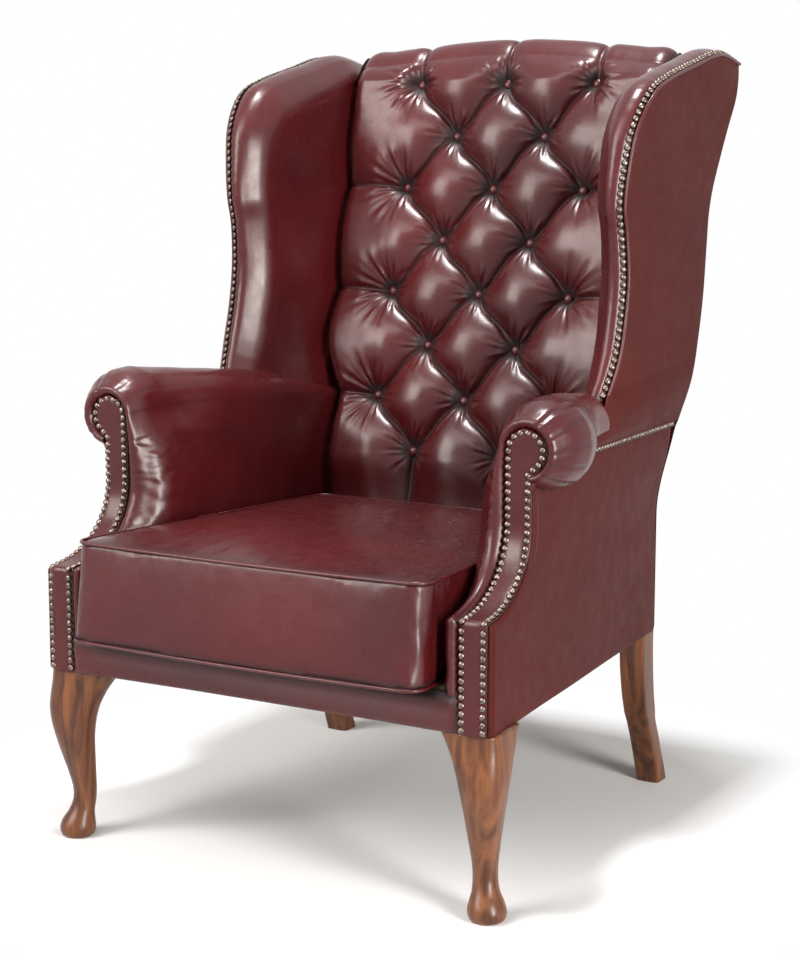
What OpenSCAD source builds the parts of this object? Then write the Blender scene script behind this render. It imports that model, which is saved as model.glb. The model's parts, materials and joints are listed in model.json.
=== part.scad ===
/* [Body] */
// Width across the front of the body, at the rails
body_front_w = 700; // [670:5:740]
// Width across the rear of the body, at the rails
body_rear_w = 606; // [590:2:630]
// Depth from the arm fronts to the outside back, at the rails
body_depth = 624; // [604:4:664]
// Floor to the underside of the body
body_z = 250; // [200:5:300]
// Height of the padded border under the cushion
border_h = 54; // [50:1:66]
// How far the border's nosing stands forward
border_nose = 11; // [6:1:16]
// Downward pitch of the seat towards the back, in degrees
seat_pitch = 1.6; // [0:0.1:2.5]

/* [Timber] */
// Thickness of the seat rails
rail_t = 26; // [20:1:32]
// Width of a back post
post_w = 38; // [30:1:42]
// Thickness of the top rails and wing boards
board_t = 18; // [14:1:20]
// Height of an arm's top rail
arm_rail_h = 34; // [26:1:36]
// Diameter of the bolts that hold the legs
bolt_d = 8; // [6:1:10]

/* [Arms] */
// Floor to the top of the arm scrolls
arm_top = 658; // [640:2:680]
// Radius of the scroll at the front of an arm
scroll_r = 61; // [52:1:66]
// Width of the nailed facing on an arm front
facing_w = 40; // [34:1:44]
// Radius of the facing's round head
facing_head_r = 29.5; // [25:0.5:33]
// Height of the facing's straight lower block
facing_block_h = 144; // [120:2:160]
// How far the facing sweeps back above its block
facing_sweep = 128; // [100:2:150]
// Height of that sweep
facing_sweep_h = 106; // [90:2:120]

/* [Back] */
// Floor to the top of the crest
back_h = 1135; // [1110:5:1160]
// Lean of the back, in degrees
back_lean = 16.4; // [14:0.2:18]
// Thickness from the buttons to the outside of the back
back_t = 60; // [58:1:70]
// Height of the lowest buttons over the seat's deck
button_low = 196; // [190:1:202]
// Distance between rows of buttons, along the back
button_rise = 83.3; // [81:0.1:85]
// Half the distance between the buttons of a row
button_side = 76; // [70:1:80]
// Height of the leather puffs over the buttons
tuft_h = 40; // [20:1:44]
// Diameter of a covered button
button_d = 15; // [10:1:18]
// Drop of the crest towards the wings
crest_drop = 17; // [8:1:24]

/* [Wings] */
// Floor to the front foot of a wing's nailed edge
wing_z = 628; // [620:1:640]
// Height of a wing's nailed edge
wing_rise = 464; // [440:4:480]
// Arm front to the front foot of a wing
wing_front = 391; // [380:1:400]
// Depth of a wing, from that foot to its rear corner
wing_run = 429; // [415:1:440]
// Middle of the chair to the nailed edge of a wing
wing_x = 321; // [321:1:326]
// How far a wing flares outwards to its rear corner
wing_flare = 24; // [12:1:30]

/* [Legs] */
// Diameter of a front leg's ankle
ankle_d = 33; // [28:1:40]
// Diameter of a front foot's pad
foot_d = 49; // [42:1:60]
// Width of a front leg's top
knee_w = 86; // [70:1:90]
// Width of a rear leg
rear_leg_w = 41; // [34:1:44]
// How far a rear leg rakes back to its foot
rear_rake = 69; // [40:1:90]

/* [Cushion] */
// Width of the cushion at the front
cushion_front_w = 526; // [510:2:526]
// Width of the cushion at the rear
cushion_rear_w = 442; // [424:2:442]
// How far the cushion stands forward of the arms
cushion_nose = 50; // [30:1:60]
// Height of the cushion's border between its welts
cushion_h = 133; // [110:1:145]
// Height of the crown over the upper welt
cushion_crown = 22; // [10:1:28]
// Diameter of the leather welts
welt_d = 9; // [6:0.5:10]

/* [Leather and nails] */
// Thickness of leather with its lining
leather = 2.4; // [1.6:0.1:3]
// Diameter of a nail's head
nail_d = 8; // [6:0.5:9]
// Distance between nails in a row
nail_pitch = 9.6; // [9.2:0.1:14]

/* [Hidden] */

// Gap between a cover and what it lies on
fit = 0.3;
// A soft edge's gap to the next cover
seam_fit = 1;
beech = "BurlyWood";
walnut = "SaddleBrown";
oxblood = [0.38, 0.13, 0.16];
brass = [0.62, 0.55, 0.42];
steel = "LightSteelBlue";
linen = "Wheat";
foam = "Ivory";

// Timber and suspension heights
dust_t = 1.6;
rail_bottom = body_z + dust_t + fit;
deck_t = 10;
deck_z = body_z + border_h;
spring_t = 3.6;
clip_t = 1;
clip_h = spring_t + 2 * clip_t + 2 * fit;
rail_inset = leather + fit;
stack_h = deck_t + clip_h + 2 * fit;

// Buttons: the lowest row's height and depth, and the number of rows
button_rows = 8;
button_z = deck_z + button_low;
button_y = body_depth - back_t + seam_fit;
back_run = (button_rows - 1) * button_rise;

// The part's origin lies on the floor, midway between the cushion's nose and the wings' rear corners
rear_corner_y = wing_front + wing_run;
middle_y = (rear_corner_y - cushion_nose) / 2;

// Facing
facing_x = body_front_w / 2 - facing_w / 2 - leather * 3;
block_top = body_z + facing_block_h;
stem_z = block_top + facing_sweep_h;
stem_shift = facing_w / 10;
head_x = facing_x - facing_w / 2 - stem_shift / 2 + facing_head_r;
scroll_z = arm_top - scroll_r;
head_z = scroll_z - facing_head_r / 6;

// Shares of a curve's run, for the parts of an outline
wing_edge_shares = [[0, 0], [0.056, 0.112], [0.093, 0.224], [0.114, 0.349], [0.105, 0.481],
    [0.084, 0.565], [0.089, 0.662], [0.121, 0.797], [0.221, 0.905], [0.343, 0.945],
    [0.55, 0.987], [0.874, 1.03], [1, 1]];
wing_flare_shares = [0.04, 0.04, 0.08, 0, 0, 0.08, 0.17, 0.42, 0.71, 0.75, 0.79, 1, 1];
rear_line_shares = [[0, 0], [0.06, 0.06], [0.174, 0.224], [0.374, 0.398], [0.641, 0.602],
    [0.836, 0.76], [1, 1]];
rear_edge_shares = [[0, 0], [0.4, 0.05], [0.62, 0.05], [0.85, 0.45], [1, 1]];

// Plain helpers
function mix(a, b, t) = a + (b - a) * t;
function clamp(t, low, high) = min(high, max(low, t));
function ease(t) = (1 - cos(180 * clamp(t, 0, 1))) / 2;
function flat(lists) = [for (l = lists) for (p = l) p];
function steps(n) = [for (k = [0 : n]) k / n];

// A smooth curve through points, with t from 0 to 1
function curve(p, t) =
    let (n = len(p) - 1, k = min(floor(t * n), n - 1), u = t * n - k,
         a = p[max(0, k - 1)], b = p[k], c = p[k + 1], d = p[min(n, k + 2)])
    (2 * b + (c - a) * u + (2 * a - 5 * b + 4 * c - d) * u * u
        + (3 * b - a - 3 * c + d) * u * u * u) / 2;

// Places at one pitch along a line of points, each with the line's index there
function lengths(p, k = 1, sum = [0]) =
    k >= len(p) ? sum : lengths(p, k + 1, concat(sum, sum[k - 1] + norm(p[k] - p[k - 1])));
function span(sums, at, k = 0) = k >= len(sums) - 2 || sums[k + 1] > at ? k : span(sums, at, k + 1);
function paced(p, pitch) =
    let (sums = lengths(p), total = sums[len(sums) - 1], n = floor(total / pitch))
    [for (m = [0 : n]) let (at = total * m / n, k = span(sums, at),
        u = (at - sums[k]) / (sums[k + 1] - sums[k])) [mix(p[k], p[k + 1], u), k + u]];

// A closed solid between two grids of points; the front grid's rows cross its columns outwards
module slab(front, back) {
    r = len(front);
    c = len(front[0]);
    n = r * c;
    rim = concat([for (i = [0 : r - 2]) i * c], [for (j = [0 : c - 2]) (r - 1) * c + j],
        [for (i = [r - 1 : -1 : 1]) i * c + c - 1], [for (j = [c - 1 : -1 : 1]) j]);
    cells = [for (i = [0 : r - 2]) for (j = [0 : c - 2]) i * c + j];
    polyhedron(concat(flat(front), flat(back)), concat(
        [for (a = cells) [a, a + 1, a + c + 1]], [for (a = cells) [a, a + c + 1, a + c]],
        [for (a = cells) [n + a, n + a + c + 1, n + a + 1]],
        [for (a = cells) [n + a, n + a + c, n + a + c + 1]],
        [for (k = [0 : len(rim) - 1]) [rim[k], rim[(k + 1) % len(rim)], n + rim[(k + 1) % len(rim)]]],
        [for (k = [0 : len(rim) - 1]) [rim[k], n + rim[(k + 1) % len(rim)], n + rim[k]]]));
}

// A relief on a ruled back: the back's end rows follow the front's columns, the rest are pairs,
// and tilts says which way each cell of the front folds
module relief(front, first, pairs, last, tilts) {
    r = len(front);
    c = len(front[0]);
    n = r * c;
    cells = [for (i = [0 : r - 2]) for (j = [0 : c - 2]) [i, j]];
    left = concat([n], [for (i = [0 : r - 3]) n + 2 * c + 2 * i], [n + c]);
    right = concat([n + c - 1], [for (i = [0 : r - 3]) n + 2 * c + 2 * i + 1], [n + 2 * c - 1]);
    polyhedron(concat(flat(front), first, last, flat(pairs)), concat(
        [for (q = cells) let (a = q[0] * c + q[1])
            tilts[q[0]][q[1]] ? [a, a + 1, a + c] : [a, a + 1, a + c + 1]],
        [for (q = cells) let (a = q[0] * c + q[1])
            tilts[q[0]][q[1]] ? [a + 1, a + c + 1, a + c] : [a, a + c + 1, a + c]],
        [for (i = [0 : r - 2]) [i * c, (i + 1) * c, left[i + 1]]],
        [for (i = [0 : r - 2]) [i * c, left[i + 1], left[i]]],
        [for (i = [0 : r - 2]) [i * c + c - 1, right[i + 1], (i + 1) * c + c - 1]],
        [for (i = [0 : r - 2]) [i * c + c - 1, right[i], right[i + 1]]],
        [for (j = [0 : c - 2]) [j, n + j + 1, j + 1]],
        [for (j = [0 : c - 2]) [j, n + j, n + j + 1]],
        [for (j = [0 : c - 2]) [n - c + j, n - c + j + 1, n + c + j + 1]],
        [for (j = [0 : c - 2]) [n - c + j, n + c + j + 1, n + c + j]],
        [for (j = [0 : c - 2]) [n + j, left[1], n + j + 1]],
        [[n + c - 1, left[1], right[1]]],
        [for (i = [1 : r - 3]) [left[i], left[i + 1], right[i + 1]]],
        [for (i = [1 : r - 3]) [left[i], right[i + 1], right[i]]],
        [for (j = [0 : c - 2]) [left[r - 2], n + c + j, n + c + j + 1]],
        [[left[r - 2], n + 2 * c - 1, right[r - 2]]]));
}

// A closed solid through rings that turn counter-clockwise as seen from the last one
module loft(rings) {
    r = len(rings);
    c = len(rings[0]);
    ends = [for (ring = [rings[0], rings[r - 1]]) [for (p = ring) 1] * ring / c];
    cells = [for (i = [0 : r - 2]) for (j = [0 : c - 1]) [i * c + j, i * c + (j + 1) % c]];
    polyhedron(concat(flat(rings), ends), concat(
        [for (q = cells) [q[0], q[1] + c, q[1]]], [for (q = cells) [q[0], q[0] + c, q[1] + c]],
        [for (j = [0 : c - 1]) [r * c, j, (j + 1) % c]],
        [for (j = [0 : c - 1]) [r * c + 1, (r - 1) * c + (j + 1) % c, (r - 1) * c + j]]));
}

// A closed band through sections that form a loop
module band(sections) {
    r = len(sections);
    c = len(sections[0]);
    cells = [for (i = [0 : r - 1]) for (j = [0 : c - 1])
        [i * c + j, i * c + (j + 1) % c, (i + 1) % r * c + j, (i + 1) % r * c + (j + 1) % c]];
    polyhedron(flat(sections), concat(
        [for (q = cells) [q[0], q[3], q[1]]], [for (q = cells) [q[0], q[2], q[3]]]));
}

module placed() {
    translate([0, -middle_y, 0]) children();
}

// Draws the right side's piece, or its mirror image on the left
module sided(side) {
    placed() mirror([side < 0 ? 1 : 0, 0, 0]) children();
}

// Extrudes an outline drawn in depth and height, from x towards the outside
module side_board(x, t, outline) {
    translate([x, 0, 0]) rotate([90, 0, 90]) linear_extrude(t) polygon(outline);
}

// Depth and height of a point of the back: h along the lean, n behind the buttons
function back_y(h, n) = button_y + h * sin(back_lean) + n * cos(back_lean);
function back_z(h, n) = button_z + h * cos(back_lean) - n * sin(back_lean);

// Depth of the back's plane n behind the buttons, at a height over the floor
function lean_y(z, n) = button_y + (z - button_z) * tan(back_lean) + n / cos(back_lean);

module on_back() {
    placed() translate([0, button_y, button_z]) rotate([-back_lean, 0, 0]) children();
}

// The seat's plane, with the deck's upper face at zero height
module on_seat() {
    placed() translate([0, 0, deck_z]) rotate([-seat_pitch, 0, 0]) children();
}

function deck_at(y) = deck_z - y * tan(seat_pitch);

// Outside of the body: half its width at a depth and height, and its rear line
seam_z = wing_z - facing_head_r * 2;
side_rear_x = wing_x + wing_flare / 6;
rear_bend_z = seam_z - arm_rail_h;
rear_rise = wing_z + wing_rise - rear_bend_z;

function rail_x(y) = mix(body_front_w, body_rear_w, y / body_depth) / 2;
function seam_x(y) = mix(body_front_w / 2 - leather * 5, side_rear_x, y / body_depth);
function side_x(y, z) =
    mix(rail_x(y), seam_x(y), ease((z - block_top - arm_rail_h) / (seam_z - block_top - arm_rail_h)));
function rear_y(z) =
    body_depth + (rear_corner_y - body_depth) * lookup((z - rear_bend_z) / rear_rise, rear_line_shares);
function rear_x(z) =
    let (t = (z - seam_z) / (wing_z + wing_rise - seam_z))
    z <= seam_z ? side_x(body_depth, z) : side_rear_x + wing_flare * 5 / 6 * lookup(t, rear_edge_shares);

// Facing: depth and height along its front, with s in blocks of block, sweep and stem
function facing_path(s) =
    s <= 1 ? [0, mix(body_z, block_top, s)] :
    s <= 2 ? [facing_sweep * sin(90 * (s - 1)), stem_z - facing_sweep_h * cos(90 * (s - 1))] :
    [facing_sweep, mix(stem_z, head_z, s - 2)];
function facing_left(s) = facing_x - facing_w / 2 - stem_shift / 2 * clamp(s - 1, 0, 1);
function facing_right(s) = facing_x + facing_w / 2 - stem_shift * clamp(s - 1, 0, 1);
function facing_normal(s) =
    s == 1 ? [0, -1, 1] : s < 1 ? [0, -1, 0] : s <= 2 ?
        let (v = [-facing_sweep_h * sin(90 * (s - 1)), facing_sweep * cos(90 * (s - 1))])
            [0, v[0], v[1]] / norm(v) :
    [0, -1, 0];

// Right edge of the facing on its stem, where it opens into the round head
neck_angle = -acos((facing_right(2) - head_x) / facing_head_r);

// Arm: inner face, scroll section and where its cover ends, from front to rear
arm_rear = back_y(0, back_t / 3) - rail_inset;
neck_in = scroll_r / 3;
neck_shares = [[0, 0], [0.2, 0.1], [0.45, 0.6], [0.72, 1.75], [0.88, 1.4], [1, 1]];
arm_end_angles = [[0, -80], [0.15, -70], [0.245, -28], [0.4, 0], [0.575, 40], [0.66, 115],
    [0.74, 140], [1, 160]];
wall_end_angles = [[0, -70], [0.15, -55], [0.245, -30], [0.4, 0], [0.575, 45], [0.66, 110],
    [0.74, 135], [1, 160]];

function cushion_side(y) =
    mix(cushion_front_w, cushion_rear_w, y / arm_rear) / 2;
function arm_in(y) = cushion_side(y) + welt_d / 2 - seam_fit / 2;
function arm_run(y) = clamp((y - facing_sweep) / (arm_rear - facing_sweep), 0, 1);
function arm_fade(y) = 1 - ease(arm_run(y) * 2.4);
function roll_rx(y) = mix(scroll_r * 0.82, scroll_r, arm_fade(y));
function roll_rz(y) = mix(scroll_r * 0.69, scroll_r, arm_fade(y));
function roll_z(y) = arm_top - 0.7 * scroll_r * arm_run(y) - roll_rz(y);
function roll_x(y) = arm_in(y) + neck_in * arm_fade(y) + roll_rx(y) - fit * (1 - arm_fade(y));
function inner_x(y, z) =
    arm_in(y) + arm_fade(y) * neck_in * lookup((z - block_top) / (scroll_z - block_top), neck_shares);
function wall_x(y) = mix(facing_left(2), facing_left(2) - 1.6 * board_t, arm_run(y)) - fit;
function wall_r(y) = mix(facing_head_r, facing_head_r * 0.6, arm_run(y)) + seam_fit + fit;
function wall_z(y) = mix(head_z, head_z - board_t / 2, arm_run(y));

// Columns of an inside arm: stations along the facing's inner edge, then angles round the scroll
arm_station_shares = [2.7, 2.35, 2, 1.78, 1.55, 1.35, 1.15, 0.97, 0.7, 0.38];
arm_turns = steps(9);
arm_row_shares = [[0.1, 0.1, 0, 0.05], [0.38, 0.6, 0, -0.1], [0.72, 0.55, 0, -0.25], [0.93, -0.2, 0, -0.4],
    [1, 0, 0.05, 0], [1, 0, 0.15, 0], [1, 0, 0.245, 0], [1, 0, 0.4, 0], [1, 0, 0.575, 0], [1, 0, 0.66, 0],
    [1, 0, 0.74, 0], [1, 0, 0.87, 0], [1, 0, 1, 0]];
arm_proud = 10;

// Cover and wall of an inside arm at one row and column
function arm_face(row, s, proud) =
    let (f = facing_path(s), n = facing_normal(s), out = arm_proud * row[proud],
         low = facing_path(arm_station_shares[9])[1], t = (f[1] - low) / (head_z - low),
         end = [arm_rear, mix(low - arm_rear * tan(seat_pitch), roll_z(arm_rear), t)],
         p = mix([f[0], f[1]] + out * [n[1], n[2]], end, row[2]))
    [mix(facing_left(s) - fit, inner_x(p[0], p[1]), row[0]), p[0], p[1]];
function arm_wall(row, s) =
    let (p = arm_face(row, s, 3), x = mix(facing_left(s) - fit, wall_x(p[1]), clamp(row[2] * 4, 0, 1)))
    [max(x, p[0] + leather / 2), p[1], p[2]];
function arm_roll(row, turn) =
    let (y = mix(facing_sweep, arm_rear, row[2]), a = mix(180, lookup(row[2], arm_end_angles), turn),
         b = mix(180, lookup(row[2], wall_end_angles), turn),
         full = [roll_x(y) + roll_rx(y) * cos(a), roll_z(y) + roll_rz(y) * sin(a)],
         edge = [wall_x(y) + wall_r(y) + wall_r(y) * cos(b), wall_z(y) + wall_r(y) * sin(b)],
         p = mix(edge, full, row[0]))
    [p[0], y - arm_proud * row[1], p[1]];
function arm_core(row, turn) =
    let (y = mix(facing_sweep, arm_rear, row[2]), b = mix(180, lookup(row[2], wall_end_angles), turn))
    [wall_x(y) + wall_r(y) + wall_r(y) * cos(b), y - arm_proud * row[3],
        wall_z(y) + wall_r(y) * sin(b)];

// Wing: its nailed edge, with u from 0 to 1, and its outward direction there
wing_nodes = [for (k = [0 : len(wing_edge_shares) - 1]) [wing_x + wing_flare * wing_flare_shares[k],
    wing_front + wing_run * wing_edge_shares[k][0], wing_z + wing_rise * wing_edge_shares[k][1]]];
function wing_edge(u) = curve(wing_nodes, u);
function wing_out(u) =
    let (e = seam_fit / wing_run, d = wing_edge(min(1, u + e)) - wing_edge(max(0, u - e)))
    [0, -d[2], d[1]] / norm([d[1], d[2]]);
function wing_point(u, inward, out) = wing_edge(u) - [inward, 0, 0] + wing_out(u) * out;

// Inside back: rows as places along the lean and round the crest, columns from side to side
crest_r = (back_t + tuft_h * 0.62) / 2;
crest_n = back_t - leather - crest_r - fit;
crest_h = (back_h - button_z - crest_r + crest_n * sin(back_lean)) / cos(back_lean);
back_low = -button_rise * 1.2;
back_rows = concat([for (k = [0 : 4]) [back_low * (1 - k / 5), 0]],
    [for (k = [0 : 4 * (button_rows - 1)]) [k * button_rise / 4, 0]],
    [[(back_run + crest_h - crest_drop) / 2, 0]], [for (a = [0 : 36 : 180]) [crest_h, a]]);
back_columns = [for (j = [12 : -1 : -12]) j];
half_width_shares = [[0.4, 0], [0.521, 0.02], [0.533, 0.3], [0.545, 0.55], [0.564, 0.75], [0.67, 0.72],
    [0.8, 0.88], [0.87, 1], [1, 1]];

function half_width(z) = mix(cushion_rear_w / 2, cushion_front_w / 2 + welt_d / 2,
    lookup(z / back_h, half_width_shares));
function back_x(j, z) =
    let (w = abs(j) <= 8 ? button_side / 4 * abs(j) : mix(2 * button_side, half_width(z), (abs(j) - 8) / 4))
    sign(j) * w;
function valley(t) = let (f = abs(t - floor(t) - 1 / 2)) 1 - (1 - 2 * f) * (1 - 2 * f);
function puff(x, h) =
    let (cx = clamp(x, -2 * button_side, 2 * button_side) / (2 * button_side),
         ch = clamp(h, 0, back_run) / (2 * button_rise),
         a = valley(cx + ch + 1 / 2), b = valley(cx - ch + 1 / 2))
    pow((2 - a - b) / 2, 0.6);

// Does the nearest fold between puffs rise with x at twice this place?
function creased(x2, h2) =
    let (cx = clamp(x2 / 2, -2 * button_side, 2 * button_side) / (2 * button_side),
         ch = clamp(h2 / 2, 0, back_run) / (2 * button_rise))
    valley(cx - ch + 1 / 2) > valley(cx + ch + 1 / 2);
function drop(x) = crest_drop * pow(min(1, abs(x) / cushion_rear_w * 2), 1.6);
function back_point(i, j) =
    let (row = back_rows[i], h = row[0], z = back_z(h, 0), x = back_x(j, z), k = puff(x, h),
         lap = clamp((abs(j) - 9) / 3, 0, 1), soft = clamp(-h / button_rise, 0, 1),
         over = clamp((h - back_run) / (crest_h - back_run), 0, 1),
         rise = tuft_h * mix(1, 0.62, over) * mix(1, 0.25, soft),
         n = -mix(leather + rise * k, back_t / 6, lap * lap),
         r = crest_r * (1 - 0.35 * (1 - k) * abs(cos(row[1] / 2)) * (1 - lap)),
         fall = drop(x) * over,
         spot = h > back_run && h == crest_h ?
            [h - fall + r * sin(row[1]), crest_n - r * cos(row[1])] : [h - fall, n])
    [x, back_y(spot[0], spot[1]), back_z(spot[0], spot[1])];
function back_wall(i, j) =
    let (row = back_rows[i], x = back_x(j, back_z(row[0], 0)), turn = row[1] / 180,
         low = crest_h - crest_drop, n = mix(leather + fit, back_t - 2 * leather - 2 * fit, turn),
         h = min(row[0], low) - (i == len(back_rows) - 1 ? drop(x) - crest_drop : 0))
    [x, back_y(h, n), back_z(h, n)];

module inside_back() {
    last = len(back_rows) - 1;
    color(oxblood) placed() relief(
        [for (i = [0 : last]) [for (j = back_columns) back_point(i, j)]],
        [for (j = back_columns) back_wall(0, j)],
        [for (i = [1 : last - 1]) [back_wall(i, 12), back_wall(i, -12)]],
        [for (j = back_columns) back_wall(last, j)],
        [for (i = [0 : last - 1]) [for (j = [12 : -1 : -11])
            creased(back_x(j, button_z) + back_x(j - 1, button_z), back_rows[i][0] + back_rows[i + 1][0])]]);
}

// Twenty buttons, each a low dome held in its hollow
module back_buttons() {
    color(oxblood) on_back() {
        for (row = [0 : button_rows - 1]) {
            for (k = row % 2 == 0 ? [-1, 1] : [-2, 0, 2]) {
                translate([k * button_side, -leather - 2 * fit, row * button_rise]) rotate([90, 0, 0])
                    dome(button_d, button_d / 3, button_d * 0.7);
            }
        }
    }
}

// A dome of height h on a stem that narrows to its foot
module dome(d, h, stem) {
    rotate_extrude() polygon([[0, 0], [d * 0.1, 0], [d / 2, stem], [d / 2 * 0.93, stem + h * 0.4],
        [d / 2 * 0.68, stem + h * 0.75], [d / 2 * 0.34, stem + h * 0.95], [0, stem + h]]);
}

module arm_facing(side) {
    stations = concat([0, 0.5, 1], [for (k = [1 : 8]) 1 + k / 8], [2.3]);
    turns = concat([neck_angle], [-50, -30, -10, 10, 30, 50, 70, 85]);
    rows = concat([for (s = stations) [facing_left(s), facing_right(s), facing_path(s), facing_normal(s)]],
        [for (a = turns) [a < 0 ? facing_left(2) : head_x - facing_head_r * cos(a),
            head_x + facing_head_r * cos(a), [facing_sweep, head_z + facing_head_r * sin(a)],
            [0, -1, 0]]]);
    color(oxblood) sided(side) slab(
        [for (row = rows) [for (x = [row[1], (row[0] + row[1]) / 2, row[0]])
            [x, row[2][0], row[2][1]]]],
        [for (row = rows) [for (x = [row[1], (row[0] + row[1]) / 2, row[0]])
            [x, row[2][0], row[2][1]] - leather * row[3]]]);
}

module inside_arm(side) {
    color(oxblood) sided(side) slab(
        [for (row = arm_row_shares) concat([for (t = arm_turns) arm_roll(row, 1 - t)],
            [for (s = arm_station_shares) arm_face(row, s, 1)])],
        [for (row = arm_row_shares) concat([for (t = arm_turns) arm_core(row, 1 - t)],
            [for (s = arm_station_shares) arm_wall(row, s)])]);
}

// Inside wing: pad sections from the nailed edge over the front roll to the back's edge
wing_end_share = 0.965;
wing_section_shares = [[-0.19, -0.19, -3], [0.19, 0.19, -3], [0.56, 0.33, -3], [0.94, 0.17, -3],
    [1.39, -0.28, 0], [2.06, -1.39, 0.2]];
wing_lining_shares = [[0.11, -0.69, -3], [0.22, -0.17, -3], [0.78, -0.17, -3], [1.22, -0.33, -3],
    [1.22, -0.78, 0], [1.22, -1.56, 0]];
wing_board_x = wing_x - board_t * 1.12;
wing_shares = [0.3, 0.62, 1];
foot_gap = 7 * seam_fit;

// A point of a wing's section, held inboard of the wing board where its share says so
function wing_at(u, q) =
    let (p = wing_point(u, q[0] * board_t, q[1] * board_t), cap = wing_board_x - fit - q[2] * board_t)
    [min(p[0], cap), p[1], p[2]];

// Where a wing meets the arm: the arm cover's end line from the wing's foot back
wing_back_row = 9;
function arm_end(t, cover) =
    let (rows = [0.575, 0.66, 0.74, 0.87, 1], k = min(3, floor(t * 4)), u = t * 4 - k,
         a = [1, 0, rows[k], 0], b = [1, 0, rows[k + 1], 0])
    cover ? mix(arm_roll(a, 1), arm_roll(b, 1), u) : mix(arm_core(a, 1), arm_core(b, 1), u);
function wing_back(u, gap) =
    let (n = len(back_rows) - 1, at = mix(wing_back_row, n - 2, u), i = min(n - 1, floor(at)))
    mix(back_point(i, 12), back_point(i + 1, 12), at - i) + [gap, 0, 0];
function wing_cover(u) =
    let (near = [for (q = wing_section_shares) wing_at(u, q)],
         rim = near[5], end = wing_back(u, 3 * seam_fit))
    concat(near, [for (t = wing_shares) mix(rim, end, t) - [wing_flare * t * (1 - t), 0, 0]]);
function wing_wall(u) =
    let (near = [for (q = wing_lining_shares) wing_at(u, q)],
         rim = near[5], end = wing_back(u, 0))
    concat([for (p = near) [max(p[0], wing_board_x - fit), p[1], p[2]]],
        [for (t = wing_shares) let (p = mix(rim, end, t)) [wing_board_x - fit, p[1], p[2]]]);
function wing_foot(cover) =
    [for (k = [0 : 8]) let (p = arm_end(k / 8, cover), high = k == 0 ? arm_end(0, true)[2] : p[2])
        [p[0], p[1], high + foot_gap]];

module inside_wing(side) {
    rows = [for (k = [1 : 16]) k / 16 * wing_end_share];
    color(oxblood) sided(side) slab(
        concat([wing_foot(true)], [for (u = rows) wing_cover(u)]),
        concat([wing_foot(false)], [for (u = rows) wing_wall(u)]));
}

// Outside arm: a cover from the facing's outer edge round the corner to the outside back
outside_arm_top = 2.35;
outside_arm_lift_shares = [[0, 0], [0.12, 0.1], [0.24, 0.77], [1, 0]];

function outside_arm_point(row, s, inset) =
    let (f = facing_path(s), n = facing_normal(s), corner = body_front_w / 2 - facing_right(0),
         high = s / outside_arm_top, tip = facing_path(outside_arm_top)[1], rear_z = seam_z + leather,
         start = f - [n[1], n[2]] * (corner * row[0] + inset * (1 - row[0])),
         end = [body_depth - leather - fit, mix(body_z, rear_z, high)],
         lift = [0, (rear_z - tip) * high * high * lookup(row[1], outside_arm_lift_shares)],
         p = mix(start, end, row[1]) + lift, side = side_x(p[0], p[1]), edge = facing_right(s) + fit,
         x = mix(max(side, edge + leather), side, min(1, row[1] * 8)))
    [mix(edge, x - inset, row[2]), p[0], p[1]];

module outside_arm(side) {
    rows = [[0, 0, 0], [0.3, 0, 0.72], [1, 0, 1], [1, 0.12, 1], [1, 0.24, 1], [1, 0.5, 1], [1, 0.75, 1],
        [1, 1, 1]];
    stations = concat([0, 0.5, 0.96], [for (k = [1 : 7]) 1 + k / 7], [2.2, outside_arm_top]);
    color(oxblood) sided(side) slab([for (row = rows) [for (s = stations) outside_arm_point(row, s, 0)]],
        [for (row = rows) [for (s = stations) outside_arm_point(row, s, leather)]]);
}

// Outside wing: a cover between the nailed edge and the back's rear edge
module outside_wing(side) {
    low_z = seam_z + leather + fit;
    foot = [seam_x(wing_front) + leather, wing_front - scroll_r, low_z];
    out = [-0.36, -0.25] * board_t;
    swell = [2 * leather, 0, 0];
    fronts = concat([foot, mix(foot, wing_point(0, out[0], out[1]), 0.5) + swell],
        [for (k = [0 : 14]) wing_point(k / 14 * wing_end_share, out[0], out[1]) + (k < 2 ? 1 : 0) * swell]);
    n = len(fronts) - 1;
    rears = [for (k = [0 : n]) let (z = mix(low_z, wing_z + wing_rise - board_t, pow(k / n, 1.2)))
        [rear_x(z) + leather, rear_y(z) - leather - 3 * fit, z]];
    skin = [for (k = [0 : n]) [for (t = steps(4)) mix(fronts[k], rears[k], t)]];
    color(oxblood) sided(side) slab([for (row = skin) [for (p = row) p - [leather, 0, 0]]], skin);
}

module outside_back() {
    heights = concat([body_z, block_top, rear_bend_z], [for (k = [1 : 6]) rear_bend_z + rear_rise * k / 6]);
    flare = tuft_h / 2;
    columns = [1, 0.8, 0.4, 0, -0.4, -0.8, -1];
    function cover(z, t, inset) =
        let (x = t * (rear_x(z) + leather), plane = lean_y(z, back_t),
             mid = max(body_depth, min(plane, rear_y(z) + flare)))
        [x, mix(mid, rear_y(z), t * t * t * t) - inset, z];
    color(oxblood) placed() slab(
        [for (z = heights) [for (t = columns) cover(z, t, leather)]],
        [for (z = heights) [for (t = columns) cover(z, t, 0)]]);
}

module front_border() {
    half = facing_left(0) - fit;
    path = [[-0.2, 0], [-0.6, 0.3], [-1, 0.62], [-0.85, 0.88], [-0.2, 0.985], [1.2, 0.985]];
    inner = [[0, 0], [0, 0.3], [0, 0.6], [0, 0.8], [0.2, 0.92], [1.2, 0.94]];
    columns = [1, 0.92, 0.5, 0, -0.5, -0.92, -1];
    function pad(q, t) = [t * half, q[0] * border_nose * (abs(t) == 1 ? 0.7 : 1), body_z + q[1] * border_h];
    color(oxblood) placed() slab(
        [for (q = path) [for (t = columns) pad(q, t)]], [for (q = inner) [for (t = columns) pad(q, t)]]);
}

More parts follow.
